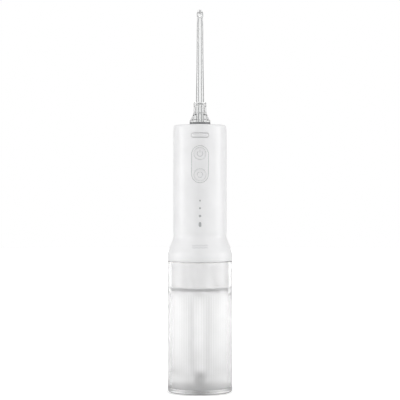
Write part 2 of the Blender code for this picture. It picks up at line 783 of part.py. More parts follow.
def make_wires():
    """Two wires from the motor and two from the cell, round the spine to the front of the board."""
    for side, name in ((1, "motor_wire_plus"), (-1, "motor_wire_minus")):
        half = [
            (5, 0, MOTOR_TOP_Z + GAP),
            (5.4, -0.6, 151.2),
            (8, -4, 151.6),
            (10, -9, 150.5),
            (9.9, -13.5, 149),
            (8.6, -15.9, 147.9),
            (6.6, -15.4, 147.6),
        ]
        route = [(x * side, y, z) for x, y, z in half]
        swept(name, smooth_route(route, 2), WIRE_R, RUBBER, 2)
    cell_top = [
        (2.9, -6.8, 202.45),
        (6, -8.2, 203.1),
        (9.9, -10.3, 203.4),
        (10, -13.5, 204),
        (8.6, -15.9, 205),
        (6.6, -15.4, 205.3),
    ]
    swept("cell_wire_plus", smooth_route(cell_top, 2), WIRE_R, RUBBER, 2)
    cell_foot = [
        (-2.9, -6.8, 151.55),
        (-6, -8.2, 152.6),
        (-9.9, -10.3, 153.6),
        (-10, -13.5, 155),
        (-8.6, -15.9, 156.6),
        (-6.6, -15.4, 157),
    ]
    swept("cell_wire_minus", smooth_route(cell_foot, 2), WIRE_R, RUBBER, 2)


def make_cover():
    """The soft cover of the charging port, hung from its top edge, with a plug that goes into the mouth."""
    cover = back_pad("port_cover", 14.8, 10.3, HANDLE_R - 1.05, HANDLE_R + 0.05, SOFT)
    plug = front_plate("port_plug", capsule(6.8, 1.4, 6), 20.9, 22.6, PORT_Z)
    boolean(cover, plug, "UNION")
    on_empty("cover_hinge", (0, COVER_HINGE_Y, COVER_HINGE_Z), [cover])


# ---------------------------------------------------------------- nozzle and its seat


def make_socket():
    """The seat that turns with the nozzle, and the fixed housing that feeds it."""
    top = HANDLE_TOP_Z
    turned(
        "nozzle_socket",
        [
            (SHANK_R + 0.25, top - 0.1),
            (SOCKET_HOLE_R - 0.3, top - 0.1),
            (SOCKET_HOLE_R - 0.3, top - TOP_WALL - 0.3),
            (SOCKET_HOLE_R + 1.2, top - TOP_WALL - 0.3),
            (SOCKET_HOLE_R + 1.2, top - TOP_WALL - 1.7),
            (SOCKET_BODY_R, top - TOP_WALL - 1.7),
            (SOCKET_BODY_R, SEAT_Z + 8.3),
            (SOCKET_BODY_R - 0.7, SEAT_Z + 8.3),
            (SOCKET_BODY_R - 0.7, SEAT_Z + 6.5),
            (SOCKET_BODY_R, SEAT_Z + 6.5),
            (SOCKET_BODY_R, SEAT_Z + 1.9),
            (SHANK_R + 0.25, SEAT_Z + 1.9),
        ],
        WHITE,
        MEDIUM,
        ring=True,
    )
    seal = ring_profile(SOCKET_BODY_R - 0.62, SOCKET_BODY_R + 0.15, SEAT_Z + 6.6, SEAT_Z + 8.2, 0.25)
    turned("socket_seal", seal, RUBBER, MEDIUM, ring=True)
    cup = [(0, 1.5), (HOUSING_BORE_R, 1.5), (HOUSING_BORE_R, 12.2), (HOUSING_R, 12.2), (HOUSING_R, 0), (0, 0)]
    housing = turned("socket_housing", [(r, SEAT_Z + z) for r, z in cup], NYLON, MEDIUM)
    barb = rod("housing_barb", BARB_R, 7.5, 12.0, sides=TINY, turn=(0, math.pi / 2, 0), lift=SEAT_PORT_Z)
    boolean(housing, barb, "UNION")
    bore = rod("housing_bore", 0.8, 5.0, 15.0, sides=TINY, turn=(0, math.pi / 2, 0), lift=SEAT_PORT_Z)
    boolean(housing, bore)


def nozzle_route():
    """The nozzle's centreline with its radius at each point: shank, long taper, bend and end."""
    groove = SHANK_FOOT_Z + 2.5
    route = [
        ((0, 0, SHANK_FOOT_Z), SHANK_R - 0.3),
        ((0, 0, SHANK_FOOT_Z + 0.5), SHANK_R),
        ((0, 0, groove), SHANK_R),
        ((0, 0, groove + 0.1), SHANK_R - 0.7),
        ((0, 0, groove + 1.9), SHANK_R - 0.7),
        ((0, 0, groove + 2.0), SHANK_R),
        ((0, 0, HANDLE_TOP_Z), SHANK_R),
        ((0, 0, HUB_FOOT_Z + 1.0), TUBE_LOW_R),
        ((0, 0, HUB_TOP_Z), TUBE_LOW_R),
        ((0, 0, HUB_TOP_Z + 20), TUBE_LOW_R - 0.45),
        ((0, 0, BEND_START_Z - 22), TUBE_TOP_R + 0.1),
    ]
    steps = 8
    for i in range(steps + 1):
        angle = BEND_ANGLE * i / steps
        y = BEND_R * (1 - math.cos(angle))
        z = BEND_START_Z + BEND_R * math.sin(angle)
        route.append(((0, y, z), TUBE_TOP_R - 0.2 * i / steps))
    return route


def make_nozzle():
    route = nozzle_route()
    along = Vector((0, math.sin(BEND_ANGLE), math.cos(BEND_ANGLE)))
    end = Vector(route[-1][0]) + along * STRAIGHT_AFTER_BEND
    route.append((tuple(end), TUBE_TOP_R - 0.2))
    swept("nozzle_tube", [p for p, _ in route], [r for _, r in route], CLEAR, 3, wall=1.3)

    turned(
        "nozzle_hub",
        [
            (4.9, HUB_TOP_Z),
            (5.4, HUB_TOP_Z - 0.5),
            (5.5, 242.1),
            (6.4, 239.4),
            (8.2, 235.6),
            (9.0, 235.2),
            (9.0, HUB_FOOT_Z + 0.3),
            (8.7, HUB_FOOT_Z),
            (7.6, HUB_FOOT_Z),
            (7.2, 234.0),
            (5.2, 238.8),
            (TUBE_LOW_R + 0.3, 240.6),
            (TUBE_LOW_R + 0.3, HUB_TOP_Z),
        ],
        CLEAR,
        MEDIUM,
        ring=True,
    )
    seal = ring_profile(SHANK_R - 0.6, SHANK_R + 0.15, SHANK_FOOT_Z + 2.7, SHANK_FOOT_Z + 4.3, 0.2)
    turned("nozzle_seal", seal, RUBBER, SMALL, ring=True)
    turned(
        "nozzle_tip",
        [
            (1.0, 7.4),
            (1.8, 7.0),
            (2.25, 6.1),
            (2.25, 5.5),
            (1.8, 4.9),
            (1.8, 4.5),
            (2.6, 4.1),
            (2.8, 3.6),
            (2.8, 0.3),
            (2.5, 0.0),
            (0.35, 0.0),
            (0.35, 7.4),
        ],
        CLEAR,
        SMALL,
        end + along * TIP_GAP,
        (-BEND_ANGLE, 0, 0),
        ring=True,
    )


# ---------------------------------------------------------------- whole object

SCREW_PLACES = [
    (SCREW_CIRCLE_R * math.cos(math.radians(a)), SCREW_CIRCLE_R * math.sin(math.radians(a)))
    for a in SCREW_ANGLES
]

clear_scene()
PIECES = new_collection("water_flosser")
CUTTERS = new_collection("cutters")
CUTTERS.hide_render = True

WHITE = new_material("white_plastic", (0.90, 0.90, 0.90), 0.35)
GLOSS = new_material("gloss_plastic", (0.92, 0.92, 0.92), 0.12)
SOFT = new_material("soft_panel", (0.88, 0.88, 0.88), 0.5)
FROSTED = new_material("frosted_tank", (0.92, 0.93, 0.93), 0.3, alpha=0.6)
CLEAR = new_material("clear_plastic", (0.95, 0.97, 0.97), 0.05, alpha=0.35)
RUBBER = new_material("grey_rubber", (0.45, 0.46, 0.47), 0.7)
SILICONE = new_material("silicone_hose", (0.85, 0.86, 0.86), 0.45)
GREY = new_material("grey_plastic", (0.55, 0.56, 0.57), 0.45)
NYLON = new_material("natural_nylon", (0.82, 0.81, 0.77), 0.5)
STEEL = new_material("steel", (0.68, 0.69, 0.70), 0.3, 1.0)
BRASS = new_material("brass", (0.78, 0.62, 0.30), 0.3, 1.0)
COPPER = new_material("copper_winding", (0.72, 0.42, 0.26), 0.35, 1.0)
BOARD = new_material("circuit_board", (0.10, 0.30, 0.18), 0.5)
WRAP = new_material("cell_wrap", (0.16, 0.36, 0.62), 0.4)
LAMP = new_material("lamp_lens", (0.93, 0.93, 0.90), 0.2)

make_tank()
make_casing()
make_panel()
make_key("power_key", POWER_KEY_Z)
make_key("mode_key", MODE_KEY_Z)
make_release()
make_light_guide()
make_neck()
make_pickup()
make_gears()
make_motor()
make_pump()
make_hoses()
make_chassis()
make_power()
make_wires()
make_cover()
make_socket()
make_nozzle()
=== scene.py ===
"""Looks for the water flosser: a white handle, a clear jet nozzle and a frosted, fluted tank.

Shapes are given in millimetres and turned into metres in new_piece. Lights and the stage are in metres.
"""

import math

import bmesh
import bpy
from mathutils import Matrix, Vector


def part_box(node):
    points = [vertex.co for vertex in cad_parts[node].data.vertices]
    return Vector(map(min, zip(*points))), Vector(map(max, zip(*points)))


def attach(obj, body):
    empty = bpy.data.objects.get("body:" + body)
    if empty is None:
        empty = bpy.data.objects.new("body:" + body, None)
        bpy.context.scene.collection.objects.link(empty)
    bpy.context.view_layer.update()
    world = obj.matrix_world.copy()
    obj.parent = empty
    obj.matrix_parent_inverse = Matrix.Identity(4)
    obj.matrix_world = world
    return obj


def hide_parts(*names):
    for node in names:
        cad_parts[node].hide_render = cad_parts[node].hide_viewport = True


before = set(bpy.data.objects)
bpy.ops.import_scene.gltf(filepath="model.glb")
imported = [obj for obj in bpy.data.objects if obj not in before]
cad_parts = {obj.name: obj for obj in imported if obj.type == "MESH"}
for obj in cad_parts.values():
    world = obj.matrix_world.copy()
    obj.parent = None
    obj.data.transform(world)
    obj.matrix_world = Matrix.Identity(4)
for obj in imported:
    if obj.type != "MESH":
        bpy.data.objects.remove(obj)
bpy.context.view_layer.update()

MM = 0.001
ROUND = 256  # sides of the large turned pieces
SLIM = 96  # sides of the slim ones
SHARP = math.radians(35)  # edges sharper than this stay crisp


def span(node):
    """The lowest and highest corners of a CAD node, in millimetres."""
    low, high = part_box(node)
    return Vector(low) / MM, Vector(high) / MM


# ---------------------------------------------------------------- sizes, in millimetres

TANK_HIGH = span("tank")[1]
COLLAR_R = TANK_HIGH.x
TANK_R = COLLAR_R - 0.3
BORE_R = COLLAR_R - 2.0
RIM_Z = TANK_HIGH.z
FLOOR_Z = 4.0
FLUTES = 80
FLUTE_DEPTH = 0.5
FLUTE_LOW_Z = 17.5
FLUTE_HIGH_Z = 86.0
FLUTE_FADE = 3.0
FLUTE_PAINTED_SHADE = 0.08  # share of painted shade that darkens the flutes' valleys
FOOT_SHADE_AND_THICKNESS = 0.35  # share by which the thick foot is darker: painted shade for its dim base, partly the thicker plastic there

SHELL_LOW, SHELL_HIGH = span("handle_casing")
SKIRT_Z = SHELL_LOW.z
TOP_Z = SHELL_HIGH.z
BARREL_R = 23.15
WAIST_R = 22.7
WAIST_Z = 134.5
FLARE_Z = 120.3
WALL = 2.0
TOP_WALL = 2.2
SEAT_R = 10.0

SEAL_LOW, SEAL_HIGH = span("neck_seal")
NECK_LOW, NECK_HIGH = span("base_neck")
HUB_LOW, HUB_HIGH = span("nozzle_hub")
BEND_R = 16.0
BEND_START_Z = 314.3
BEND = math.radians(45)


def middle(node):
    low, high = span(node)
    return (low + high) / 2


PANEL = span("button_panel")
PANEL_WIDTH = PANEL[1].x - PANEL[0].x
PANEL_HEIGHT = PANEL[1].z - PANEL[0].z
POWER_Z = middle("power_key").z
MODE_Z = middle("mode_key").z
PANEL_Z = (POWER_Z + MODE_Z) / 2
KEY_R = 5.2
KEY_HOLE_R = 5.3
KEY_DISH = 0.6
KEY_SUNK = 0.1
PILL_Z = middle("release_button").z
SPRING_Z = middle("release_spring").z
SPRING_POCKET_R = 1.4
LAMPS = ((165.8, 1.3, 1.3), (159.3, 1.6, 1.6), (152.6, 2.0, 2.0), (145.4, 2.1, 4.1))  # z, width, height
FLAP_Z = middle("port_cover").z


# ---------------------------------------------------------------- finishes


def finish(name, colour, roughness, **sockets):
    """A material with its plain values set on the shader's own sockets."""
    made = bpy.data.materials.new(name)
    made.use_nodes = True
    shader = made.node_tree.nodes["Principled BSDF"]
    shader.inputs["Base Color"].default_value = (*colour, 1)
    shader.inputs["Roughness"].default_value = roughness
    for socket, value in sockets.items():
        shader.inputs[socket.replace("_", " ")].default_value = value
    return made


def add(made, kind, **settings):
    node = made.node_tree.nodes.new(kind)
    for key, value in settings.items():
        if hasattr(node, key):
            setattr(node, key, value)
        else:
            node.inputs[key.replace("_", " ")].default_value = value
    return node


def wire(made, source, output, target, socket):
    made.node_tree.links.new(source.outputs[output], target.inputs[socket])


def shader_of(made):
    return made.node_tree.nodes["Principled BSDF"]


def grain(made, size, depth, mottle=0.02, rub=0.06):
    """Fine moulded grain: bump at one size in mm, with slow changes in colour and roughness."""
    shader = shader_of(made)
    place = add(made, "ShaderNodeTexCoord")
    if depth:
        fine = add(made, "ShaderNodeTexNoise", Scale=1 / (size * MM), Detail=3.0, Roughness=0.6)
        wire(made, place, "Object", fine, "Vector")
        bump = add(made, "ShaderNodeBump", Distance=depth * MM, Strength=0.6)
        wire(made, fine, "Fac", bump, "Height")
        wire(made, bump, "Normal", shader, "Normal")
    slow = add(made, "ShaderNodeTexNoise", Scale=70.0, Detail=2.0)
    wire(made, place, "Object", slow, "Vector")
    roughness = shader.inputs["Roughness"].default_value
    spread = add(made, "ShaderNodeMapRange", To_Min=roughness - rub, To_Max=roughness + rub)
    wire(made, slow, "Fac", spread, "Value")
    wire(made, spread, "Result", shader, "Roughness")
    base = shader.inputs["Base Color"].default_value[:3]
    shades = add(made, "ShaderNodeValToRGB")
    shades.color_ramp.elements[0].position = 0.3
    shades.color_ramp.elements[1].position = 0.7
    shades.color_ramp.elements[0].color = (*[c * (1 - mottle) for c in base], 1)
    shades.color_ramp.elements[1].color = (*[min(1, c * (1 + mottle)) for c in base], 1)
    wire(made, slow, "Fac", shades, "Fac")
    wire(made, shades, "Color", shader, "Base Color")
    return made


def winding(made, pitch, groove_shade):
    """Bands across Z, for wound wire or film creases, with painted shade darkening the grooves."""
    shader = shader_of(made)
    place = add(made, "ShaderNodeTexCoord")
    bands = add(made, "ShaderNodeTexWave", bands_direction="Z", Scale=0.5 / (pitch * MM), Distortion=0.6)
    wire(made, place, "Object", bands, "Vector")
    base = shader.inputs["Base Color"].default_value[:3]
    shades = add(made, "ShaderNodeValToRGB")
    # painted shade in the grooves between the bands
    shades.color_ramp.elements[0].color = (*[c * groove_shade for c in base], 1)
    shades.color_ramp.elements[1].color = (*base, 1)
    wire(made, bands, "Fac", shades, "Fac")
    wire(made, shades, "Color", shader, "Base Color")
    bump = add(made, "ShaderNodeBump", Distance=0.15 * MM, Strength=0.8)
    wire(made, bands, "Fac", bump, "Height")
    wire(made, bump, "Normal", shader, "Normal")
    return made


def tracks(made, copper):
    """A circuit board's tracks: a brick pattern of lines under the green mask."""
    shader = shader_of(made)
    place = add(made, "ShaderNodeTexCoord")
    turn = add(made, "ShaderNodeMapping")
    turn.inputs["Rotation"].default_value = (math.pi / 2, 0, 0)
    wire(made, place, "Object", turn, "Vector")
    lines = add(made, "ShaderNodeTexBrick", Scale=260.0)
    lines.inputs["Mortar Size"].default_value = 0.03
    base = shader.inputs["Base Color"].default_value
    lines.inputs["Color1"].default_value = base
    lines.inputs["Color2"].default_value = (base[0] * 1.3, base[1] * 1.2, base[2] * 1.3, 1)
    lines.inputs["Mortar"].default_value = (*copper, 1)
    wire(made, turn, "Vector", lines, "Vector")
    wire(made, lines, "Color", shader, "Base Color")
    return made


def painted_wall_shade(made):
    """Paints shade on the tank's wall: darker in the valleys of its flutes, and darker at its thick foot,
    partly for the thicker plastic there.
    """
    shader = shader_of(made)
    place = add(made, "ShaderNodeTexCoord")
    split = add(made, "ShaderNodeSeparateXYZ")
    turn = add(made, "ShaderNodeMath", operation="ARCTAN2")
    phase = add(made, "ShaderNodeMath", operation="MULTIPLY")
    phase.inputs[1].default_value = FLUTES
    wave = add(made, "ShaderNodeMath", operation="COSINE")
    # painted shade in the flutes' valleys
    depth = add(made, "ShaderNodeMapRange", From_Min=-1.0, From_Max=1.0, To_Min=FLUTE_PAINTED_SHADE, To_Max=0.0)
    low = add(made, "ShaderNodeMapRange", From_Min=(FLUTE_LOW_Z - 12) * MM, From_Max=(FLUTE_LOW_Z + 3) * MM)
    high = add(made, "ShaderNodeMapRange", From_Min=(FLUTE_HIGH_Z + 1) * MM, From_Max=(FLUTE_HIGH_Z - 3) * MM)
    zone = add(made, "ShaderNodeMath", operation="MULTIPLY")
    share = add(made, "ShaderNodeMath", operation="MULTIPLY")
    # painted shade at the foot, partly standing for its thicker plastic
    foot = add(made, "ShaderNodeMapRange", From_Min=5.5 * MM, From_Max=3.0 * MM, To_Max=FOOT_SHADE_AND_THICKNESS)
    both = add(made, "ShaderNodeMath", operation="ADD")
    left = add(made, "ShaderNodeMath", operation="SUBTRACT")
    left.inputs[0].default_value = 1.0
    shaded_colour = add(made, "ShaderNodeVectorMath", operation="SCALE")
    colour = shader.inputs["Base Color"].links[0]
    wire(made, place, "Object", split, 0)
    wire(made, split, "Y", turn, 0)
    wire(made, split, "X", turn, 1)
    wire(made, turn, 0, phase, 0)
    wire(made, phase, 0, wave, 0)
    wire(made, wave, 0, depth, "Value")
    wire(made, split, "Z", low, "Value")
    wire(made, split, "Z", high, "Value")
    wire(made, low, 0, zone, 0)
    wire(made, high, 0, zone, 1)
    wire(made, depth, 0, share, 0)
    wire(made, zone, 0, share, 1)
    wire(made, split, "Z", foot, "Value")
    wire(made, share, 0, both, 0)
    wire(made, foot, 0, both, 1)
    wire(made, both, 0, left, 1)
    wire(made, left, 0, shaded_colour, "Scale")
    made.node_tree.links.new(colour.from_socket, shaded_colour.inputs[0])
    wire(made, shaded_colour, 0, shader, "Base Color")
    return made


def plastic(name, colour, roughness, clear, mottle, rub):
    """A see-through plastic, with the share of light that it lets in and its slow changes."""
    return grain(finish(name, colour, roughness, Transmission_Weight=clear, IOR=1.49), 1.0, 0, mottle, rub)


SHELL = grain(finish("white_shell_satin", (0.81, 0.81, 0.815), 0.34), 0.35, 0.004)
PANEL_SOFT = grain(finish("panel_soft_touch", (0.79, 0.79, 0.795), 0.5), 0.25, 0.006)
KEY_SOFT = grain(finish("key_soft_touch", (0.79, 0.79, 0.795), 0.4), 0.25, 0.006)
PILL_GLOSS = grain(finish("release_gloss", (0.8, 0.8, 0.805), 0.1, Coat_Weight=0.8), 1.5, 0.004, rub=0.03)
SEAT_WHITE = grain(finish("seat_white", (0.85, 0.85, 0.855), 0.3), 0.4, 0.006)
NECK_WHITE = grain(finish("neck_white", (0.95, 0.948, 0.95), 0.32), 0.4, 0.006)
FROSTED_SHEEN = finish("frosted_tank_wall", (0.98, 0.979, 0.98), 0.21, Transmission_Weight=0.72, IOR=1.49)
# the tank wall's colour carries painted shade in its flute valleys and at its foot
FROSTED = painted_wall_shade(grain(FROSTED_SHEEN, 0.5, 0.002, 0.015, 0.03))
FLUTED = plastic("fluted_inner_wall", (0.975, 0.974, 0.975), 0.12, 1.0, 0.004, 0.02)
SMOKED = plastic("smoked_pickup_tube", (0.35, 0.35, 0.353), 0.2, 0.3, 0.01, 0.02)
CLEAR = plastic("clear_nozzle_wall", (0.965, 0.968, 0.968), 0.03, 1.0, 0.004, 0.02)
SEAL = grain(finish("grey_seal_rubber", (0.33, 0.335, 0.34), 0.6), 0.3, 0.02)
SILICONE = grain(finish("silicone_hose_wall", (0.78, 0.79, 0.79), 0.4, Subsurface_Weight=0.1), 0.6, 0.01)
# a dark grey ring at the nozzle hub's foot: painted shade for the shadow gap at the base of the cone
SHADE_RING = grain(finish("grey_colour_band", (0.2, 0.203, 0.208), 0.4), 0.3, 0.006)
GREY = grain(finish("grey_moulding", (0.46, 0.46, 0.465), 0.42), 0.3, 0.01)
LAMP_SMOKE = grain(finish("lamp_window_smoke", (0.44, 0.445, 0.45), 0.25), 0.4, 0.004)
MARK = grain(finish("printed_mark", (0.55, 0.555, 0.56), 0.5), 0.2, 0.004)
NYLON = grain(finish("natural_nylon", (0.72, 0.71, 0.67), 0.45), 0.4, 0.012)
STEEL = grain(finish("plated_steel", (0.62, 0.63, 0.64), 0.3, Metallic=1.0), 0.15, 0.006, 0.05, 0.1)
BRASS = grain(finish("turned_brass", (0.76, 0.58, 0.27), 0.28, Metallic=1.0), 0.2, 0.006, 0.05, 0.08)
# copper winding: painted shade in its grooves
COPPER = winding(finish("copper_winding", (0.72, 0.38, 0.2), 0.35, Metallic=1.0), 0.5, 0.35)
BOARD = tracks(finish("green_board", (0.03, 0.13, 0.07), 0.4, Coat_Weight=0.5), (0.05, 0.22, 0.11))
# cell film: painted shade in its creases
WRAP = winding(finish("cell_film", (0.06, 0.16, 0.36), 0.3, Coat_Weight=0.4), 9.0, 0.85)
LAMP = grain(finish("lamp_lens", (0.85, 0.85, 0.8), 0.15), 0.3, 0.004)
WIRE_COVER = grain(finish("wire_cover", (0.05, 0.05, 0.055), 0.45), 0.3, 0.01)


# ---------------------------------------------------------------- shapes


def eased(points, steps=5):
    """A profile with its corners rounded. Each point is (radius, height, distance cut from the corner)."""
    path = []
    count = len(points)
    for i, (r, z, cut) in enumerate(points):
        here = Vector((r, z))
        if not cut:
            path.append(here)
            continue
        before = Vector(points[i - 1][:2]) - here
        after = Vector(points[(i + 1) % count][:2]) - here
        start = here + before.normalized() * min(cut, before.length * 0.49)
        end = here + after.normalized() * min(cut, after.length * 0.49)
        for k in range(steps + 1):
            t = k / steps
            path.append((1 - t) ** 2 * start + 2 * t * (1 - t) * here + t**2 * end)
    return path


def rows(path, step):
    """The same profile with points added so that no stretch is longer than the step."""
    filled = []
    for a, b in zip(path, path[1:] + path[:1]):
        count = max(1, math.ceil((b - a).length / step))
        filled += [a.lerp(b, k / count) for k in range(count)]
    return filled


def new_piece(name, vertices, faces, material):
    mesh = bpy.data.meshes.new(name)
    mesh.from_pydata([Vector(v) * MM for v in vertices], [], faces)
    mesh.materials.append(material)
    obj = bpy.data.objects.new(name, mesh)
    bpy.context.scene.collection.objects.link(obj)
    tidy(obj)
    return obj


def tidy(obj):
    """Merges doubles, turns the faces outwards and shades the rounds smooth."""
    body = bmesh.new()
    body.from_mesh(obj.data)
    bmesh.ops.remove_doubles(body, verts=body.verts, dist=0.000002)
    bmesh.ops.dissolve_degenerate(body, edges=body.edges, dist=0.000001)
    bmesh.ops.recalc_face_normals(body, faces=body.faces)
    body.to_mesh(obj.data)
    body.free()
    shade(obj)


def shade(obj):
    obj.data.shade_smooth()
    obj.data.set_sharp_from_angle(angle=SHARP)


def turned(name, path, material, sides=ROUND, closed=True):
    """A turned piece from a closed profile of (radius, height), or one that ends on the axis."""
    count = len(path)
    vertices, faces = [], []
    for i in range(sides):
        angle = math.tau * i / sides
        vertices += [(r * math.cos(angle), r * math.sin(angle), z) for r, z in path]
    for i in range(sides):
        here, there = i * count, (i + 1) % sides * count
        for k in range(count if closed else count - 1):
            m = (k + 1) % count
            faces.append((here + k, here + m, there + m, there + k))
    return new_piece(name, vertices, faces, material)


def capsule(width, height, sides=16):
    """A slot outline with round ends. Its points match those of a capsule of any other size."""
    radius = min(width, height) / 2
    long_x, long_y = (width - 2 * radius) / 2, (height - 2 * radius) / 2
    points = []
    for quarter, (sx, sy) in enumerate(((1, 1), (-1, 1), (-1, -1), (1, -1))):
        for k in range(sides // 2 + 1):
            angle = math.pi / 2 * (quarter + k / (sides // 2))
            points.append((radius * math.cos(angle) + sx * long_x, radius * math.sin(angle) + sy * long_y))
    return points


def pad(name, width, height, centre_z, rings, material, facing=-1, sides=16, back=None):
    """A pad that follows the handle's curve. Each ring is (inset from the outline, lift off the curve).

    The first ring is the back one, which a back distance makes flat. The last is closed with one face, so
    it is a small one. Facing is -1 for the front of the handle and 1 for its back.
    """
    vertices, faces = [], []
    for number, (inset, lift) in enumerate(rings):
        outline = capsule(max(width - 2 * inset, 0.02), max(height - 2 * inset, 0.02), sides)
        for x, z in outline:
            y = math.sqrt(max((BARREL_R + lift) ** 2 - x * x, 0))
            if back is not None and number == 0:
                y = back
            vertices.append((x, facing * y, centre_z + z))
    count = len(capsule(1, 1, sides))
    for ring in range(len(rings) - 1):
        for k in range(count):
            m = (k + 1) % count
            faces.append((ring * count + k, ring * count + m, (ring + 1) * count + m, (ring + 1) * count + k))
    faces.append(tuple(range(count)))
    faces.append(tuple(range((len(rings) - 1) * count, len(rings) * count)))
    return new_piece(name, vertices, faces, material)


def prism(name, outline, low_y, high_y, centre_z):
    """An upright outline pushed through along Y, for cutting."""
    count = len(outline)
    vertices = [(x, y, centre_z + z) for y in (low_y, high_y) for x, z in outline]
    sides = [(k, (k + 1) % count, count + (k + 1) % count, count + k) for k in range(count)]
    return new_piece(name, vertices, sides + [tuple(range(count)), tuple(range(count, 2 * count))], SHELL)


def cut(obj, tool):
    """Cuts a piece with a tool, which is then removed."""
    knife = obj.modifiers.new("cut", "BOOLEAN")
    knife.operation = "DIFFERENCE"
    knife.object = tool
    settle(obj)
    bpy.data.objects.remove(tool)
    shade(obj)


def settle(obj):
    """Makes a piece's modifiers part of its mesh."""
    graph = bpy.context.evaluated_depsgraph_get()
    graph.update()
    mesh = bpy.data.meshes.new_from_object(obj.evaluated_get(graph), depsgraph=graph)
    obj.modifiers.clear()
    obj.data = mesh
    mesh.name = obj.name


def swept(name, route, material, bore, sides=64):
    """A round tube along a route of (point, radius), with an even bore."""
    places = [Vector(p) for p, _ in route]
    vertices, faces = [], []
    count = len(route)
    for radii in ([r for _, r in route], [bore] * count):
        for i, (place, radius) in enumerate(zip(places, radii)):
            along = (places[min(i + 1, count - 1)] - places[max(i - 1, 0)]).normalized()
            across = Vector((1, 0, 0))
            up = along.cross(across).normalized()
            for k in range(sides):
                angle = math.tau * k / sides
                vertices.append(place + radius * (math.cos(angle) * across + math.sin(angle) * up))
    for first in (0, count):
        for i in range(first, first + count - 1):
            for k in range(sides):
                a, m = i * sides, (k + 1) % sides
                faces.append((a + k, a + m, a + sides + m, a + sides + k))
    for i in (0, count - 1):
        for k in range(sides):
            a, b, m = i * sides, (count + i) * sides, (k + 1) % sides
            faces.append((a + k, a + m, b + m, b + k))
    return new_piece(name, vertices, faces, material)


def stroke(name, lines, width, surface, material, proud=0.04):
    """Printed strokes on a curved face. Each line is a list of (x, z), and surface gives y at (x, z)."""
    sunk = 0.06
    vertices, faces = [], []
    for line in lines:
        points = [Vector(p) for p in line]
        closed = (points[0] - points[-1]).length < 0.001
        base = len(vertices)
        for i, point in enumerate(points):
            if closed and i in (0, len(points) - 1):
                along = points[1] - points[-2]
            else:
                along = points[min(i + 1, len(points) - 1)] - points[max(i - 1, 0)]
            side = Vector((-along.y, along.x)).normalized() * width / 2
            for edge in (point + side, point - side):
                y = surface(*edge)
                vertices += [(edge.x, y - proud, edge.y), (edge.x, y + sunk, edge.y)]
        for i in range(len(points) - 1):
            a, b = base + 4 * i, base + 4 * (i + 1)
            for k, m in ((0, 2), (2, 3), (3, 1), (1, 0)):
                faces.append((a + k, a + m, b + m, b + k))
        if not closed:
            for a in (base, base + 4 * (len(points) - 1)):
                faces.append((a, a + 2, a + 3, a + 1))
    return new_piece(name, vertices, faces, material)


def ring_of(radius, start=0, end=360, centre=(0, 0), steps=40):
    """Points round a circle from one angle to another, in degrees from the top, clockwise."""
    return [
        (centre[0] + radius * math.sin(a), centre[1] + radius * math.cos(a))
        for a in (math.radians(start + (end - start) * k / steps) for k in range(steps + 1))
    ]


def keep(obj, body, material_slot, *nodes):
    """A finished piece: it rides on its body and stands for its CAD nodes. Its material slot is not used."""
    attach(obj, body)
    if nodes:
        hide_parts(*nodes)


# ---------------------------------------------------------------- tank


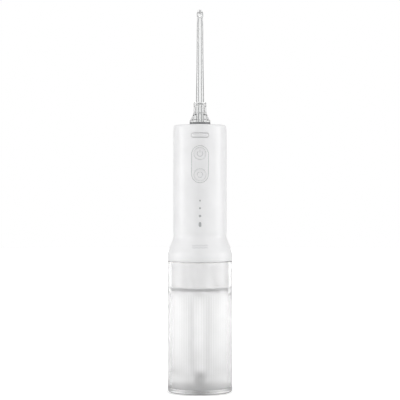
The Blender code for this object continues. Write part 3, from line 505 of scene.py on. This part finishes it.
def flute_tree():
    """Raises upright flutes on the inside of a turned wall, fading out at both ends, and coats both sides."""
    tree = bpy.data.node_groups.new("wall_flutes", "GeometryNodeTree")
    face = tree.interface
    face.new_socket("Wall", in_out="INPUT", socket_type="NodeSocketGeometry")
    for title in ("Flutes", "Depth", "Low", "High", "Fade", "Bore", "Inner floor", "Inner top"):
        face.new_socket(title, in_out="INPUT", socket_type="NodeSocketFloat")
    for title in ("Finish", "Inner finish"):
        face.new_socket(title, in_out="INPUT", socket_type="NodeSocketMaterial")
    face.new_socket("Wall", in_out="OUTPUT", socket_type="NodeSocketGeometry")
    nodes, links = tree.nodes, tree.links
    given, made = nodes.new("NodeGroupInput"), nodes.new("NodeGroupOutput")

    def math_node(operation, *values):
        node = nodes.new("ShaderNodeMath")
        node.operation = operation
        for number, value in enumerate(values):
            if isinstance(value, (int, float)):
                node.inputs[number].default_value = value
            else:
                links.new(value, node.inputs[number])
        return node.outputs[0]

    place = nodes.new("GeometryNodeInputPosition")
    parts = nodes.new("ShaderNodeSeparateXYZ")
    links.new(place.outputs[0], parts.inputs[0])
    x, y, z = parts.outputs
    radius = math_node("SQRT", math_node("ADD", math_node("MULTIPLY", x, x), math_node("MULTIPLY", y, y)))
    wave = math_node("COSINE", math_node("MULTIPLY", math_node("ARCTAN2", y, x), given.outputs["Flutes"]))
    share = math_node("MULTIPLY_ADD", wave, 0.5, 0.5)
    rise = math_node("DIVIDE", math_node("SUBTRACT", z, given.outputs["Low"]), given.outputs["Fade"])
    fall = math_node("DIVIDE", math_node("SUBTRACT", given.outputs["High"], z), given.outputs["Fade"])
    mask = math_node("MINIMUM", rise, fall)
    mask = math_node("MAXIMUM", math_node("MINIMUM", mask, 1.0), 0.0)
    inside = math_node("LESS_THAN", radius, math_node("ADD", given.outputs["Bore"], 0.0001))
    push = math_node("MULTIPLY", math_node("MULTIPLY", share, mask), given.outputs["Depth"])
    push = math_node("DIVIDE", math_node("MULTIPLY", push, inside), math_node("MAXIMUM", radius, 0.001))
    shift = nodes.new("ShaderNodeCombineXYZ")
    links.new(math_node("MULTIPLY", math_node("MULTIPLY", x, push), -1.0), shift.inputs[0])
    links.new(math_node("MULTIPLY", math_node("MULTIPLY", y, push), -1.0), shift.inputs[1])
    move = nodes.new("GeometryNodeSetPosition")
    real = nodes.new("GeometryNodeRealizeInstances")
    coat, lining = nodes.new("GeometryNodeSetMaterial"), nodes.new("GeometryNodeSetMaterial")
    above = math_node("GREATER_THAN", z, given.outputs["Inner floor"])
    below = math_node("LESS_THAN", z, given.outputs["Inner top"])
    links.new(given.outputs["Wall"], move.inputs["Geometry"])
    links.new(shift.outputs[0], move.inputs["Offset"])
    links.new(move.outputs[0], real.inputs[0])
    links.new(real.outputs[0], coat.inputs["Geometry"])
    links.new(given.outputs["Finish"], coat.inputs["Material"])
    links.new(coat.outputs[0], lining.inputs["Geometry"])
    lined = math_node("MULTIPLY", math_node("MULTIPLY", inside, above), below)
    links.new(lined, lining.inputs["Selection"])
    links.new(given.outputs["Inner finish"], lining.inputs["Material"])
    links.new(lining.outputs[0], made.inputs[0])
    return tree


def run_tree(obj, tree, **values):
    """Runs a tree on a piece with its named inputs set, and keeps the result as a plain mesh."""
    worker = obj.modifiers.new(tree.name, "NODES")
    worker.node_group = tree
    for item in tree.interface.items_tree:
        title = item.name.replace(" ", "_")
        if item.in_out == "INPUT" and title in values:
            worker[item.identifier] = values[title]
    settle(obj)
    shade(obj)


def make_tank():
    inside = eased([(0, FLOOR_Z, 0), (BORE_R, FLOOR_Z, 3.2), (BORE_R, RIM_Z - 0.5, 0)])
    outside = eased(
        [
            (BORE_R, RIM_Z, 0.4),
            (COLLAR_R, RIM_Z, 0.5),
            (COLLAR_R, SEAL_HIGH.z + 0.8, 0.3),
            (TANK_R, SEAL_HIGH.z + 0.2, 0.3),
            (TANK_R, 0, 2.6),
            (23.0, 0, 0.4),
            (22.0, 0.8, 0.4),
            (0, 0.8, 0),
        ]
    )
    path = rows(inside + outside, 3.0)
    path = path[: path.index(outside[-1]) + 1]
    shell = turned("tank_shell", path, FROSTED, sides=8 * FLUTES, closed=False)
    run_tree(
        shell,
        flute_tree(),
        Flutes=float(FLUTES),
        Depth=FLUTE_DEPTH * MM,
        Low=FLUTE_LOW_Z * MM,
        High=FLUTE_HIGH_Z * MM,
        Fade=FLUTE_FADE * MM,
        Bore=BORE_R * MM,
        Inner_top=RIM_Z * MM,
        Inner_floor=(FLOOR_Z - 0.5) * MM,
        Finish=FROSTED,
        Inner_finish=FLUTED,
    )
    keep(shell, "tank", "frosted_tank", "tank")


# ---------------------------------------------------------------- handle


def make_shell():
    path = eased(
        [
            (SEAT_R, TOP_Z, 0.35),
            (BARREL_R - 0.35, TOP_Z, 1.9),
            (BARREL_R, TOP_Z - 8.0, 4.0),
            (BARREL_R, WAIST_Z + 4.5, 2.0),
            (WAIST_R, WAIST_Z, 2.2),
            (COLLAR_R, FLARE_Z, 2.4),
            (COLLAR_R, SKIRT_Z, 0.45),
            (BORE_R, SKIRT_Z, 0.3),
            (BORE_R, FLARE_Z - 0.3, 0.5),
            (WAIST_R - WALL, WAIST_Z - 0.4, 1.0),
            (BARREL_R - WALL, WAIST_Z + 4.5, 1.0),
            (BARREL_R - WALL, TOP_Z - TOP_WALL, 1.0),
            (SEAT_R, TOP_Z - TOP_WALL, 0.3),
        ]
    )
    shell = turned("handle_shell", rows(path, 6.0), SHELL, sides=360)
    front, deep = -BARREL_R - 2, -BARREL_R + 8
    panel = capsule(PANEL_WIDTH + 0.4, PANEL_HEIGHT + 0.4, 32)
    cut(shell, prism("panel_cut", panel, front, deep, PANEL_Z))
    cut(shell, prism("pill_cut", capsule(15.5, 4.2, 20), front, deep, PILL_Z))
    for number, (z, lamp_width, lamp_height) in enumerate(LAMPS):
        outline = capsule(lamp_width + 0.1, lamp_height + 0.1, 12)
        cut(shell, prism(f"lamp_cut_{number}", outline, front, deep, z))
    cut(shell, prism("port_cut", capsule(10.2, 4.4, 16), 15, BARREL_R + 2, middle("charge_port").z))
    rings = [(0, -1.4), (0, 3.0), (5.3, 3.0)]
    cut(shell, pad("flap_pocket", 15.4, 10.9, FLAP_Z, rings, SHELL, facing=1, sides=24))
    keep(shell, "handle", "white_shell", "handle_casing")


def rounded_face(radius, depth, edge, face=None, rows_across=8):
    """Rings of a pad with a rounded edge: back, wall, edge and face, whose lift may follow a rule."""
    steps, stop = 4, 0.05
    rings = [(0, -depth), (0, -edge)]
    for k in range(1, steps + 1):
        angle = math.pi / 2 * k / steps
        rings.append((edge * (1 - math.cos(angle)), edge * (math.sin(angle) - 1)))
    reach = radius - stop
    for k in range(1, rows_across + 1):
        inset = edge + (reach - edge) * k / rows_across
        rings.append((inset, face(radius - inset) if face else 0))
    return rings


def key_face(share):
    """How far a key's dished face lies below its rim."""
    return -KEY_DISH * (1 - share**2)


def make_controls():
    rings = rounded_face(PANEL_WIDTH / 2, 1.5, 0.3)
    panel = pad("key_panel", PANEL_WIDTH, PANEL_HEIGHT, PANEL_Z, rings, PANEL_SOFT, sides=40)
    for name, z in (("power", POWER_Z), ("mode", MODE_Z)):
        cut(panel, prism(name + "_hole", capsule(2 * KEY_HOLE_R, 2 * KEY_HOLE_R, 40), -30, -10, z))
    keep(panel, "handle", "soft_keys", "button_panel")

    rings = rounded_face(KEY_R, 1.7, 0.35, lambda left: key_face(left / KEY_R))
    rings = [(inset, lift - KEY_SUNK) for inset, lift in rings]
    for name, z, node in (("power_pad", POWER_Z, "power_key"), ("mode_pad", MODE_Z, "mode_key")):
        key = pad(name, 2 * KEY_R, 2 * KEY_R, z, rings, KEY_SOFT, sides=40)
        keep(key, node, "soft_keys", node)

    def on_key(centre_z):
        def surface(x, z):
            share = min(1, math.hypot(x, z - centre_z) / KEY_R)
            lift = key_face(share) - KEY_SUNK
            return -math.sqrt((BARREL_R + lift) ** 2 - x * x)

        return surface

    power_bar = [(0, POWER_Z + 0.9), (0, POWER_Z + 2.0), (0, POWER_Z + 3.2)]
    power = [ring_of(2.35, 38, 322, (0, POWER_Z)), power_bar]
    keep(stroke("power_mark", power, 0.55, on_key(POWER_Z), MARK), "power_key", "grey_plastic")
    mode = [ring_of(2.35, 12 + 120 * k, 108 + 120 * k, (0, MODE_Z), 16) for k in range(3)]
    keep(stroke("mode_mark", mode, 0.5, on_key(MODE_Z), MARK), "mode_key", "grey_plastic")

    pill_rings = rounded_face(1.85, 3.0, 0.5, lambda left: 0.3 - 0.25 * (1 - left / 1.85), rows_across=5)
    pill = pad("release_pill", 15.0, 3.7, PILL_Z, pill_rings, PILL_GLOSS, sides=24)
    keep(pill, "release", "gloss_button", "release_button")
    rings = [(0, -5), (0, -2.6), (3.3, -2.6)]
    flange = pad("release_flange", 18.6, 6.8, PILL_Z, rings, NYLON, sides=20, back=17.6)
    pocket = capsule(2 * SPRING_POCKET_R, 2 * SPRING_POCKET_R)
    cut(flange, prism("spring_pocket", pocket, -19.4, -15.0, SPRING_Z))
    keep(flange, "release", "nylon")

    for number, (z, lamp_width, lamp_height) in enumerate(LAMPS):
        rings = rounded_face(lamp_width / 2, 0.8, 0.12, rows_across=2)
        lens = pad(f"lamp_window_{number + 1}", lamp_width, lamp_height, z, rings, LAMP_SMOKE, sides=12)
        keep(lens, "handle", "lamp")


def make_mark():
    """A small mark of two waves on the skirt."""

    def surface(x, z):
        share = (z - FLARE_Z) / (WAIST_Z - FLARE_Z)
        radius = COLLAR_R + (WAIST_R - COLLAR_R) * share
        return -math.sqrt(radius**2 - x * x)

    across = [k / 4 for k in range(-26, 27)]
    waves = [[(x, z + 0.55 * math.sin(1.6 * x)) for x in across] for z in (125.7, 127.5)]
    keep(stroke("wave_mark", waves, 0.45, surface, MARK, 0.03), "handle", "grey_plastic")


def make_flap():
    rings = rounded_face(5.15, 1.0, 0.3, lambda left: 0.02)
    flap = pad("port_flap", 14.8, 10.3, FLAP_Z, rings, PANEL_SOFT, facing=1, sides=32)
    groove = [(0, -0.25), (0, 1), (0.2, 1)]
    for number in range(3):
        cut(flap, pad(f"grip_{number}", 6.0, 0.5, FLAP_Z - 3.0 + number, groove, SHELL, facing=1))
    keep(flap, "port_cover", "soft_keys", "port_cover")


def make_seat():
    low, high = span("nozzle_socket")
    bore, body = 3.15, 6.0
    flange_top = TOP_Z - TOP_WALL - 0.3
    path = eased(
        [
            (bore, high.z, 0.3),
            (SEAT_R - 0.3, high.z, 0.45),
            (SEAT_R - 0.3, flange_top, 0.15),
            (SEAT_R + 1.2, flange_top, 0.2),
            (SEAT_R + 1.2, flange_top - 1.4, 0.2),
            (body, flange_top - 1.4, 0.4),
            (body, low.z + 6.4, 0),
            (body - 0.7, low.z + 6.4, 0),
            (body - 0.7, low.z + 4.6, 0),
            (body, low.z + 4.6, 0),
            (body, low.z, 0.4),
            (bore, low.z, 0.2),
        ],
        3,
    )
    keep(turned("nozzle_seat", path, SEAT_WHITE, SLIM), "socket", "white_shell", "nozzle_socket")


# ---------------------------------------------------------------- neck and pickup


def make_neck():
    radius, inner = NECK_HIGH.x, 24.0
    low, high = NECK_LOW.z, NECK_HIGH.z
    path = eased(
        [
            (radius, high, 0.3),
            (radius, SEAL_HIGH.z + 0.1, 0.25),
            (24.6, SEAL_HIGH.z + 0.1, 0),
            (24.6, SEAL_LOW.z - 0.1, 0),
            (radius - 0.3, SEAL_LOW.z - 0.1, 0.25),
            (radius - 0.3, low, 0.8),
            (20.0, low, 0.4),
            (19.2, low + 0.7, 0.4),
            (6.2, low + 0.7, 0.4),
            (5.6, low, 0.4),
            (3.9, low, 0.2),
            (3.9, low + 2.8, 0.2),
            (inner - 1, low + 2.8, 1.0),
            (inner - 1, SEAL_HIGH.z + 1.5, 0),
            (inner, SEAL_HIGH.z + 2.5, 0),
            (inner, high, 0.2),
        ]
    )
    keep(turned("neck_cup", path, NECK_WHITE), "handle", "white_shell", "base_neck")
    ring = eased(
        [
            (24.75, SEAL_HIGH.z, 0.2),
            (SEAL_HIGH.x, SEAL_HIGH.z, 0.6),
            (SEAL_HIGH.x, SEAL_LOW.z, 0.6),
            (24.75, SEAL_LOW.z, 0.2),
        ]
    )
    keep(turned("neck_ring", ring, SEAL), "handle", "grey_seal", "neck_seal")


def rib_tree():
    """Instances one rib round the Z axis and joins the copies."""
    tree = bpy.data.node_groups.new("ribs_round_axis", "GeometryNodeTree")
    face = tree.interface
    face.new_socket("Rib", in_out="INPUT", socket_type="NodeSocketGeometry")
    face.new_socket("Count", in_out="INPUT", socket_type="NodeSocketInt")
    face.new_socket("Finish", in_out="INPUT", socket_type="NodeSocketMaterial")
    face.new_socket("Ribs", in_out="OUTPUT", socket_type="NodeSocketGeometry")
    nodes, links = tree.nodes, tree.links
    given, made = nodes.new("NodeGroupInput"), nodes.new("NodeGroupOutput")
    points = nodes.new("GeometryNodePoints")
    index = nodes.new("GeometryNodeInputIndex")
    turn = nodes.new("ShaderNodeMath")
    turn.operation = "DIVIDE"
    angle = nodes.new("ShaderNodeMath")
    angle.operation = "MULTIPLY"
    angle.inputs[1].default_value = math.tau
    spin = nodes.new("ShaderNodeCombineXYZ")
    copies = nodes.new("GeometryNodeInstanceOnPoints")
    real = nodes.new("GeometryNodeRealizeInstances")
    coat = nodes.new("GeometryNodeSetMaterial")
    links.new(given.outputs["Count"], points.inputs["Count"])
    links.new(index.outputs[0], turn.inputs[0])
    links.new(given.outputs["Count"], turn.inputs[1])
    links.new(turn.outputs[0], angle.inputs[0])
    links.new(angle.outputs[0], spin.inputs[2])
    links.new(points.outputs[0], copies.inputs["Points"])
    links.new(given.outputs["Rib"], copies.inputs["Instance"])
    links.new(spin.outputs[0], copies.inputs["Rotation"])
    links.new(copies.outputs[0], real.inputs[0])
    links.new(real.outputs[0], coat.inputs["Geometry"])
    links.new(given.outputs["Finish"], coat.inputs["Material"])
    links.new(coat.outputs[0], made.inputs[0])
    return tree


def make_pickup():
    low, high = span("tube_connector")
    spigot = [
        (2.0, high.z, 0),
        (4.3, high.z, 0.3),
        (4.7, high.z - 0.6, 0.3),
        (4.7, low.z + 1.6, 0.6),
        (3.3, low.z, 0.4),
        (2.0, low.z, 0),
    ]
    keep(turned("tube_spigot", eased(spigot), NECK_WHITE, SLIM), "handle", "white_shell", "tube_connector")

    low, high = span("pickup_tube")
    tube = [
        (1.0, high.z, 0.1),
        (1.5, high.z, 0.2),
        (1.5, 89.6, 0),
        (1.7, 89.5, 0),
        (1.7, low.z, 0.2),
        (1.0, low.z, 0.1),
    ]
    keep(turned("dip_tube", eased(tube), SMOKED, 48), "handle", "clear_nozzle", "pickup_tube")

    low, high = span("intake_filter")
    cap = [
        (2.0, high.z, 0.2),
        (4.1, high.z, 0.5),
        (4.7, high.z - 0.9, 0.3),
        (4.7, 15.0, 0.2),
        (3.6, 15.0, 0.2),
        (3.6, 16.4, 0.3),
        (2.0, 16.4, 0.2),
    ]
    keep(turned("filter_cap", eased(cap), GREY, SLIM), "handle", "grey_plastic")
    foot = [
        (0.0, 7.0, 0),
        (3.6, 7.0, 0.2),
        (3.6, 8.2, 0.2),
        (4.7, 8.2, 0.2),
        (4.7, 6.0, 0.4),
        (4.1, low.z, 0.4),
        (0.0, low.z, 0),
    ]
    keep(turned("filter_foot", eased(foot, 3), GREY, SLIM, closed=False), "handle", "grey_plastic")
    wall = [(x, y) for x in (3.7, 4.6) for y in (-0.28, 0.28)]
    corners = [(x, y, z) for z in (8.0, 15.2) for x, y in (wall[0], wall[2], wall[3], wall[1])]
    sides = [(0, 1, 5, 4), (1, 2, 6, 5), (2, 3, 7, 6), (3, 0, 4, 7), (0, 1, 2, 3), (4, 5, 6, 7)]
    rib = new_piece("filter_ribs", corners, sides, GREY)
    run_tree(rib, rib_tree(), Count=16, Finish=GREY)
    keep(rib, "handle", "grey_plastic", "intake_filter")


# ---------------------------------------------------------------- nozzle


def make_nozzle():
    foot = span("nozzle_tube")[0].z
    groove = foot + 2.5
    route = [
        (foot, 2.6),
        (foot + 0.15, 2.8),
        (foot + 0.5, 2.9),
        (groove, 2.9),
        (groove + 0.02, 2.2),
        (groove + 1.9, 2.2),
        (groove + 1.92, 2.9),
        (TOP_Z - 1, 2.9),
        (TOP_Z + 1.4, 3.4),
        (HUB_HIGH.z - 6, 3.45),
        (HUB_HIGH.z + 4, 3.42),
    ]
    route = [((0, 0, z), r) for z, r in route]
    taper_z, taper_r, neck_r = HUB_HIGH.z + 4, 3.42, 2.72
    tall = BEND_START_Z - taper_z
    for k in range(1, 13):
        share = k / 12
        radius = neck_r + (taper_r - neck_r) * (1 - share) ** 1.6
        route.append(((0, 0, taper_z + tall * share), radius))
    for k in range(1, 17):
        angle = BEND * k / 16
        place = (0, BEND_R * (1 - math.cos(angle)), BEND_START_Z + BEND_R * math.sin(angle))
        route.append((place, 2.7 - 0.2 * k / 16))
    along = Vector((0, math.sin(BEND), math.cos(BEND)))
    end = Vector(route[-1][0]) + along
    route.append((end, 2.5))
    keep(swept("jet_tube", route, CLEAR, bore=1.35), "nozzle", "clear_nozzle", "nozzle_tube")

    ferrule = [(0.0, 2.45), (0.05, 2.62), (0.35, 2.8), (3.5, 2.8), (3.9, 2.7), (4.1, 2.45)]
    throat = [(4.3, 1.9), (4.55, 1.75), (4.85, 1.8)]
    bead = [(5.15, 2.1), (5.5, 2.25), (6.0, 2.27), (6.5, 2.1), (6.9, 1.8), (7.2, 1.35), (7.38, 0.8)]
    tip_route = [(end + along * (0.15 + reach), radius) for reach, radius in ferrule + throat + bead]
    keep(swept("jet_tip", tip_route, CLEAR, bore=0.4), "nozzle", "clear_nozzle", "nozzle_tip")

    # a dark grey ring at the hub's foot, painted shade standing in for the shadow gap at the base of the cone
    low, high, band = HUB_LOW.z, HUB_HIGH.z, 1.9
    ring = eased([(9.0, low + band, 0.2), (9.0, low, 0.5), (7.6, low, 0.3), (7.6, low + band, 0.2)])
    keep(turned("jet_band", ring, SHADE_RING, 128), "nozzle", "grey_seal")
    path = eased(
        [
            (3.75, high, 0.15),
            (5.4, high, 0.6),
            (5.5, 242.1, 1.2),
            (6.6, 238.9, 1.0),
            (8.3, 235.7, 0.4),
            (8.9, 235.2, 0.3),
            (8.9, low + band, 0.1),
            (7.6, low + band, 0.1),
            (7.2, 234.0, 0.6),
            (5.2, 238.8, 0.8),
            (3.75, 240.6, 0.6),
        ],
        4,
    )
    keep(turned("jet_collar", path, CLEAR, 128), "nozzle", "clear_nozzle", "nozzle_hub")


# ---------------------------------------------------------------- finishes of the pieces kept as they are

KEPT = {
    NYLON: "chassis motor_end_cap pump_cylinder pump_head pump_gear piston socket_housing",
    STEEL: "motor_can motor_shaft gear_axle piston_yoke latch_fork release_spring charge_port "
    "cell_tab_top cell_tab_bottom chassis_screw_1 chassis_screw_2 chassis_screw_3",
    SEAL: "tube_grommet socket_seal nozzle_seal piston_seal inlet_valve outlet_valve",
    SILICONE: "inlet_hose outlet_hose",
    GREY: "power_switch mode_switch port_tongue",
    CLEAR: "light_guide",
    BRASS: "pinion",
    COPPER: "motor_armature",
    BOARD: "control_board charge_board",
    WRAP: "battery_cell",
    LAMP: "led_1 led_2 led_3 led_4",
    WIRE_COVER: "motor_wire_plus motor_wire_minus cell_wire_plus cell_wire_minus",
}


def coat_kept_nodes():
    for material, names in KEPT.items():
        for name in names.split():
            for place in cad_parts[name].material_slots:
                place.material = material


# ---------------------------------------------------------------- camera, lights and stage

CAMERA_PLACE = (0, -1.35, 0.1663)
CAMERA_LENS = 140.0
AIM = (0, 0, 0.17)

# brightness by angle from the camera's side, in degrees: of the panels that light the outside
PANELS = (
    (0, 0.1),
    (10, 0.15),
    (20, 1.5),
    (36, 2.7),
    (60, 2.7),
    (75, 1.4),
    (100, 0.7),
    (125, 0.6),
    (180, 0.8),
)
# of the light that reaches matt surfaces through the tank's wall
LIT_THROUGH = (
    (0, 1.2),
    (16, 2.4),
    (40, 5.0),
    (68, 6.2),
    (80, 0.1),
    (120, 0.05),
    (145, 1.0),
    (160, 1.2),
    (180, 1.2),
)
# of what is seen straight through clear and frosted walls
SEEN_THROUGH = ((0, 0.9), (60, 0.9), (80, 0.1), (120, 0.05), (145, 1.0), (160, 1.2), (180, 1.2))
OVERHEAD = 0.4
OVERHEAD_BEHIND = 0.9

BOX_PLACE = (1.3, -0.1, 0.2)
BOX_SIZE = (0.6, 0.9)
BOX_POWER = 6.0
TOP_PLACE = (0, 0, 1.5)
TOP_SIZE = (0.3, 0.3)
TOP_POWER = 3.0

# a glow's low value, its high value and the distance from x = 0 at which it gets there
CARD_STRIPE = (0.1, 2.7, 0.14)
FLOOR_STRIPE = (0.0, 0.7, 0.08)
CARD_Y = 0.3
CARD_MIDDLE_Z = 0.0675
CARD_HEIGHT = 0.134
FLOOR_RADIUS = 4
FLOOR_TOP_Z = -0.0005


def make_camera():
    lens = bpy.data.cameras.new("camera")
    lens.lens = CAMERA_LENS
    camera = bpy.data.objects.new("camera", lens)
    camera.location = CAMERA_PLACE
    camera.rotation_euler = (math.pi / 2, 0, 0)
    bpy.context.scene.collection.objects.link(camera)
    bpy.context.scene.camera = camera
    bpy.context.scene.view_settings.view_transform = "Standard"


def softbox(name, place, size, power):
    lamp = bpy.data.lights.new(name, "AREA")
    lamp.shape = "RECTANGLE"
    lamp.size, lamp.size_y = size
    lamp.energy = power
    light = bpy.data.objects.new(name, lamp)
    light.location = place
    light.rotation_euler = (Vector(AIM) - Vector(place)).to_track_quat("-Z", "Y").to_euler()
    light.visible_camera = False
    light.visible_transmission = False
    bpy.context.scene.collection.objects.link(light)


def make_sky():
    """A world that is white to the camera, and rings of panels to everything else.

    Rays that left a see-through wall meet one ring if they come straight from the camera's view, and
    a brighter one if they bounced off something matt behind the wall.
    """
    world = bpy.data.worlds.new("studio")
    bpy.context.scene.world = world
    world.use_nodes = True
    tree = world.node_tree

    def step(operation, *values):
        node = tree.nodes.new("ShaderNodeMath")
        node.operation = operation
        for socket, value in zip(node.inputs, values):
            if isinstance(value, (int, float)):
                socket.default_value = value
            else:
                tree.links.new(value, socket)
        return node.outputs[0]

    way = tree.nodes.new("ShaderNodeTexCoord")
    split = tree.nodes.new("ShaderNodeSeparateXYZ")
    tree.links.new(way.outputs["Generated"], split.inputs[0])
    x, y, z = split.outputs
    turn = step("DIVIDE", step("ARCTAN2", step("ABSOLUTE", x), step("MULTIPLY", y, -1.0)), math.pi)
    rise = step("MULTIPLY_ADD", step("ABSOLUTE", z), 4.0, -2.0)
    rise.node.use_clamp = True

    def ring(panels, overhead):
        shades = tree.nodes.new("ShaderNodeValToRGB")
        points = shades.color_ramp.elements
        while len(points) < len(panels):
            points.new(0.5)
        for point, (angle, grey) in zip(points, panels):
            point.position = angle / 180
            point.color = (grey, grey, grey, 1)
        tree.links.new(turn, shades.inputs["Fac"])
        flat = step("MULTIPLY", shades.outputs["Color"], step("SUBTRACT", 1.0, rise))
        light = tree.nodes.new("ShaderNodeBackground")
        tree.links.new(step("MULTIPLY_ADD", rise, overhead, flat), light.inputs["Strength"])
        return light

    seen = tree.nodes["Background"]
    seen.inputs["Color"].default_value = (1, 1, 1, 1)
    path = tree.nodes.new("ShaderNodeLightPath")
    bounced = step("GREATER_THAN", path.outputs["Diffuse Depth"], 0.5)

    def choose(share, without, with_it):
        mixed = tree.nodes.new("ShaderNodeMixShader")
        for output, socket in ((share, 0), (without.outputs[0], 1), (with_it.outputs[0], 2)):
            tree.links.new(output, mixed.inputs[socket])
        return mixed

    through = choose(bounced, ring(SEEN_THROUGH, OVERHEAD_BEHIND), ring(LIT_THROUGH, OVERHEAD_BEHIND))
    around = choose(path.outputs["Is Transmission Ray"], ring(PANELS, OVERHEAD), through)
    shown = choose(path.outputs["Is Camera Ray"], around, seen)
    tree.links.new(shown.outputs[0], tree.nodes["World Output"].inputs["Surface"])


def make_studio():
    x, y, z = BOX_PLACE
    softbox("left_box", (-x, y, z), BOX_SIZE, BOX_POWER)
    softbox("right_box", (x, y, z), BOX_SIZE, BOX_POWER)
    softbox("top_box", TOP_PLACE, TOP_SIZE, TOP_POWER)
    make_sky()
    make_floor()
    make_glow_card()


def make_floor():
    """A pale floor: white to the camera away from the object, and striped to see-through walls near it."""
    under = (0, 0, FLOOR_TOP_Z)
    bpy.ops.mesh.primitive_circle_add(vertices=64, radius=FLOOR_RADIUS, fill_type="NGON", location=under)
    floor = bpy.context.active_object
    floor.name = "floor"
    paint = finish("floor_paint", (0.85, 0.85, 0.85), 0.9)
    place = add(paint, "ShaderNodeTexCoord")
    reach = add(paint, "ShaderNodeVectorMath", operation="LENGTH")
    glow = add(paint, "ShaderNodeMapRange", From_Min=0.1, From_Max=0.9, To_Min=0.5, To_Max=1.0)
    fade = add(paint, "ShaderNodeMapRange", From_Min=0.2, From_Max=0.6, To_Min=1.0, To_Max=0.0)
    path = add(paint, "ShaderNodeLightPath")
    shown = add(paint, "ShaderNodeMath", operation="MULTIPLY")
    near = add(paint, "ShaderNodeMath", operation="MULTIPLY")
    through = add(paint, "ShaderNodeMath", operation="MULTIPLY_ADD")
    wire(paint, place, "Object", reach, 0)
    wire(paint, reach, "Value", glow, "Value")
    wire(paint, reach, "Value", fade, "Value")
    wire(paint, glow, "Result", shown, 0)
    wire(paint, path, "Is Camera Ray", shown, 1)
    wire(paint, fade, "Result", near, 0)
    wire(paint, striped(paint, place, FLOOR_STRIPE), "Result", near, 1)
    wire(paint, path, "Is Transmission Ray", through, 0)
    wire(paint, near, 0, through, 1)
    wire(paint, shown, 0, through, 2)
    wire(paint, through, 0, shader_of(paint), "Emission Strength")
    shader_of(paint).inputs["Emission Color"].default_value = (1, 1, 1, 1)
    floor.data.materials.append(paint)


def striped(made, place, stripe):
    """Brightness that is low at x = 0 and rises to both sides."""
    low, high, reach = stripe
    split = add(made, "ShaderNodeSeparateXYZ")
    aside = add(made, "ShaderNodeMath", operation="ABSOLUTE")
    rise = add(made, "ShaderNodeMapRange", From_Max=reach, To_Min=low, To_Max=high)
    wire(made, place, "Object", split, 0)
    wire(made, split, "X", aside, 0)
    wire(made, aside, 0, rise, "Value")
    return rise


def make_glow_card():
    """A lit card behind the object that only see-through walls show, dimmer up the middle of the tank."""
    bpy.ops.mesh.primitive_plane_add(size=1, location=(0, 0, 0))
    card = bpy.context.active_object
    card.name = "glow_card"
    upright = Matrix.Diagonal((1, 1, CARD_HEIGHT, 1)) @ Matrix.Rotation(math.pi / 2, 4, "X")
    card.data.transform(Matrix.Translation((0, CARD_Y, CARD_MIDDLE_Z)) @ upright)
    for rays in ("camera", "diffuse", "glossy", "shadow", "volume_scatter"):
        setattr(card, "visible_" + rays, False)
    glow = finish("glow_card_light", (0, 0, 0), 1.0)
    place = add(glow, "ShaderNodeTexCoord")
    wire(glow, striped(glow, place, CARD_STRIPE), "Result", shader_of(glow), "Emission Strength")
    shader_of(glow).inputs["Emission Color"].default_value = (1, 1, 1, 1)
    card.data.materials.append(glow)


make_camera()
make_studio()
make_tank()
make_shell()
make_controls()
make_mark()
make_flap()
make_seat()
make_neck()
make_pickup()
make_nozzle()
coat_kept_nodes()
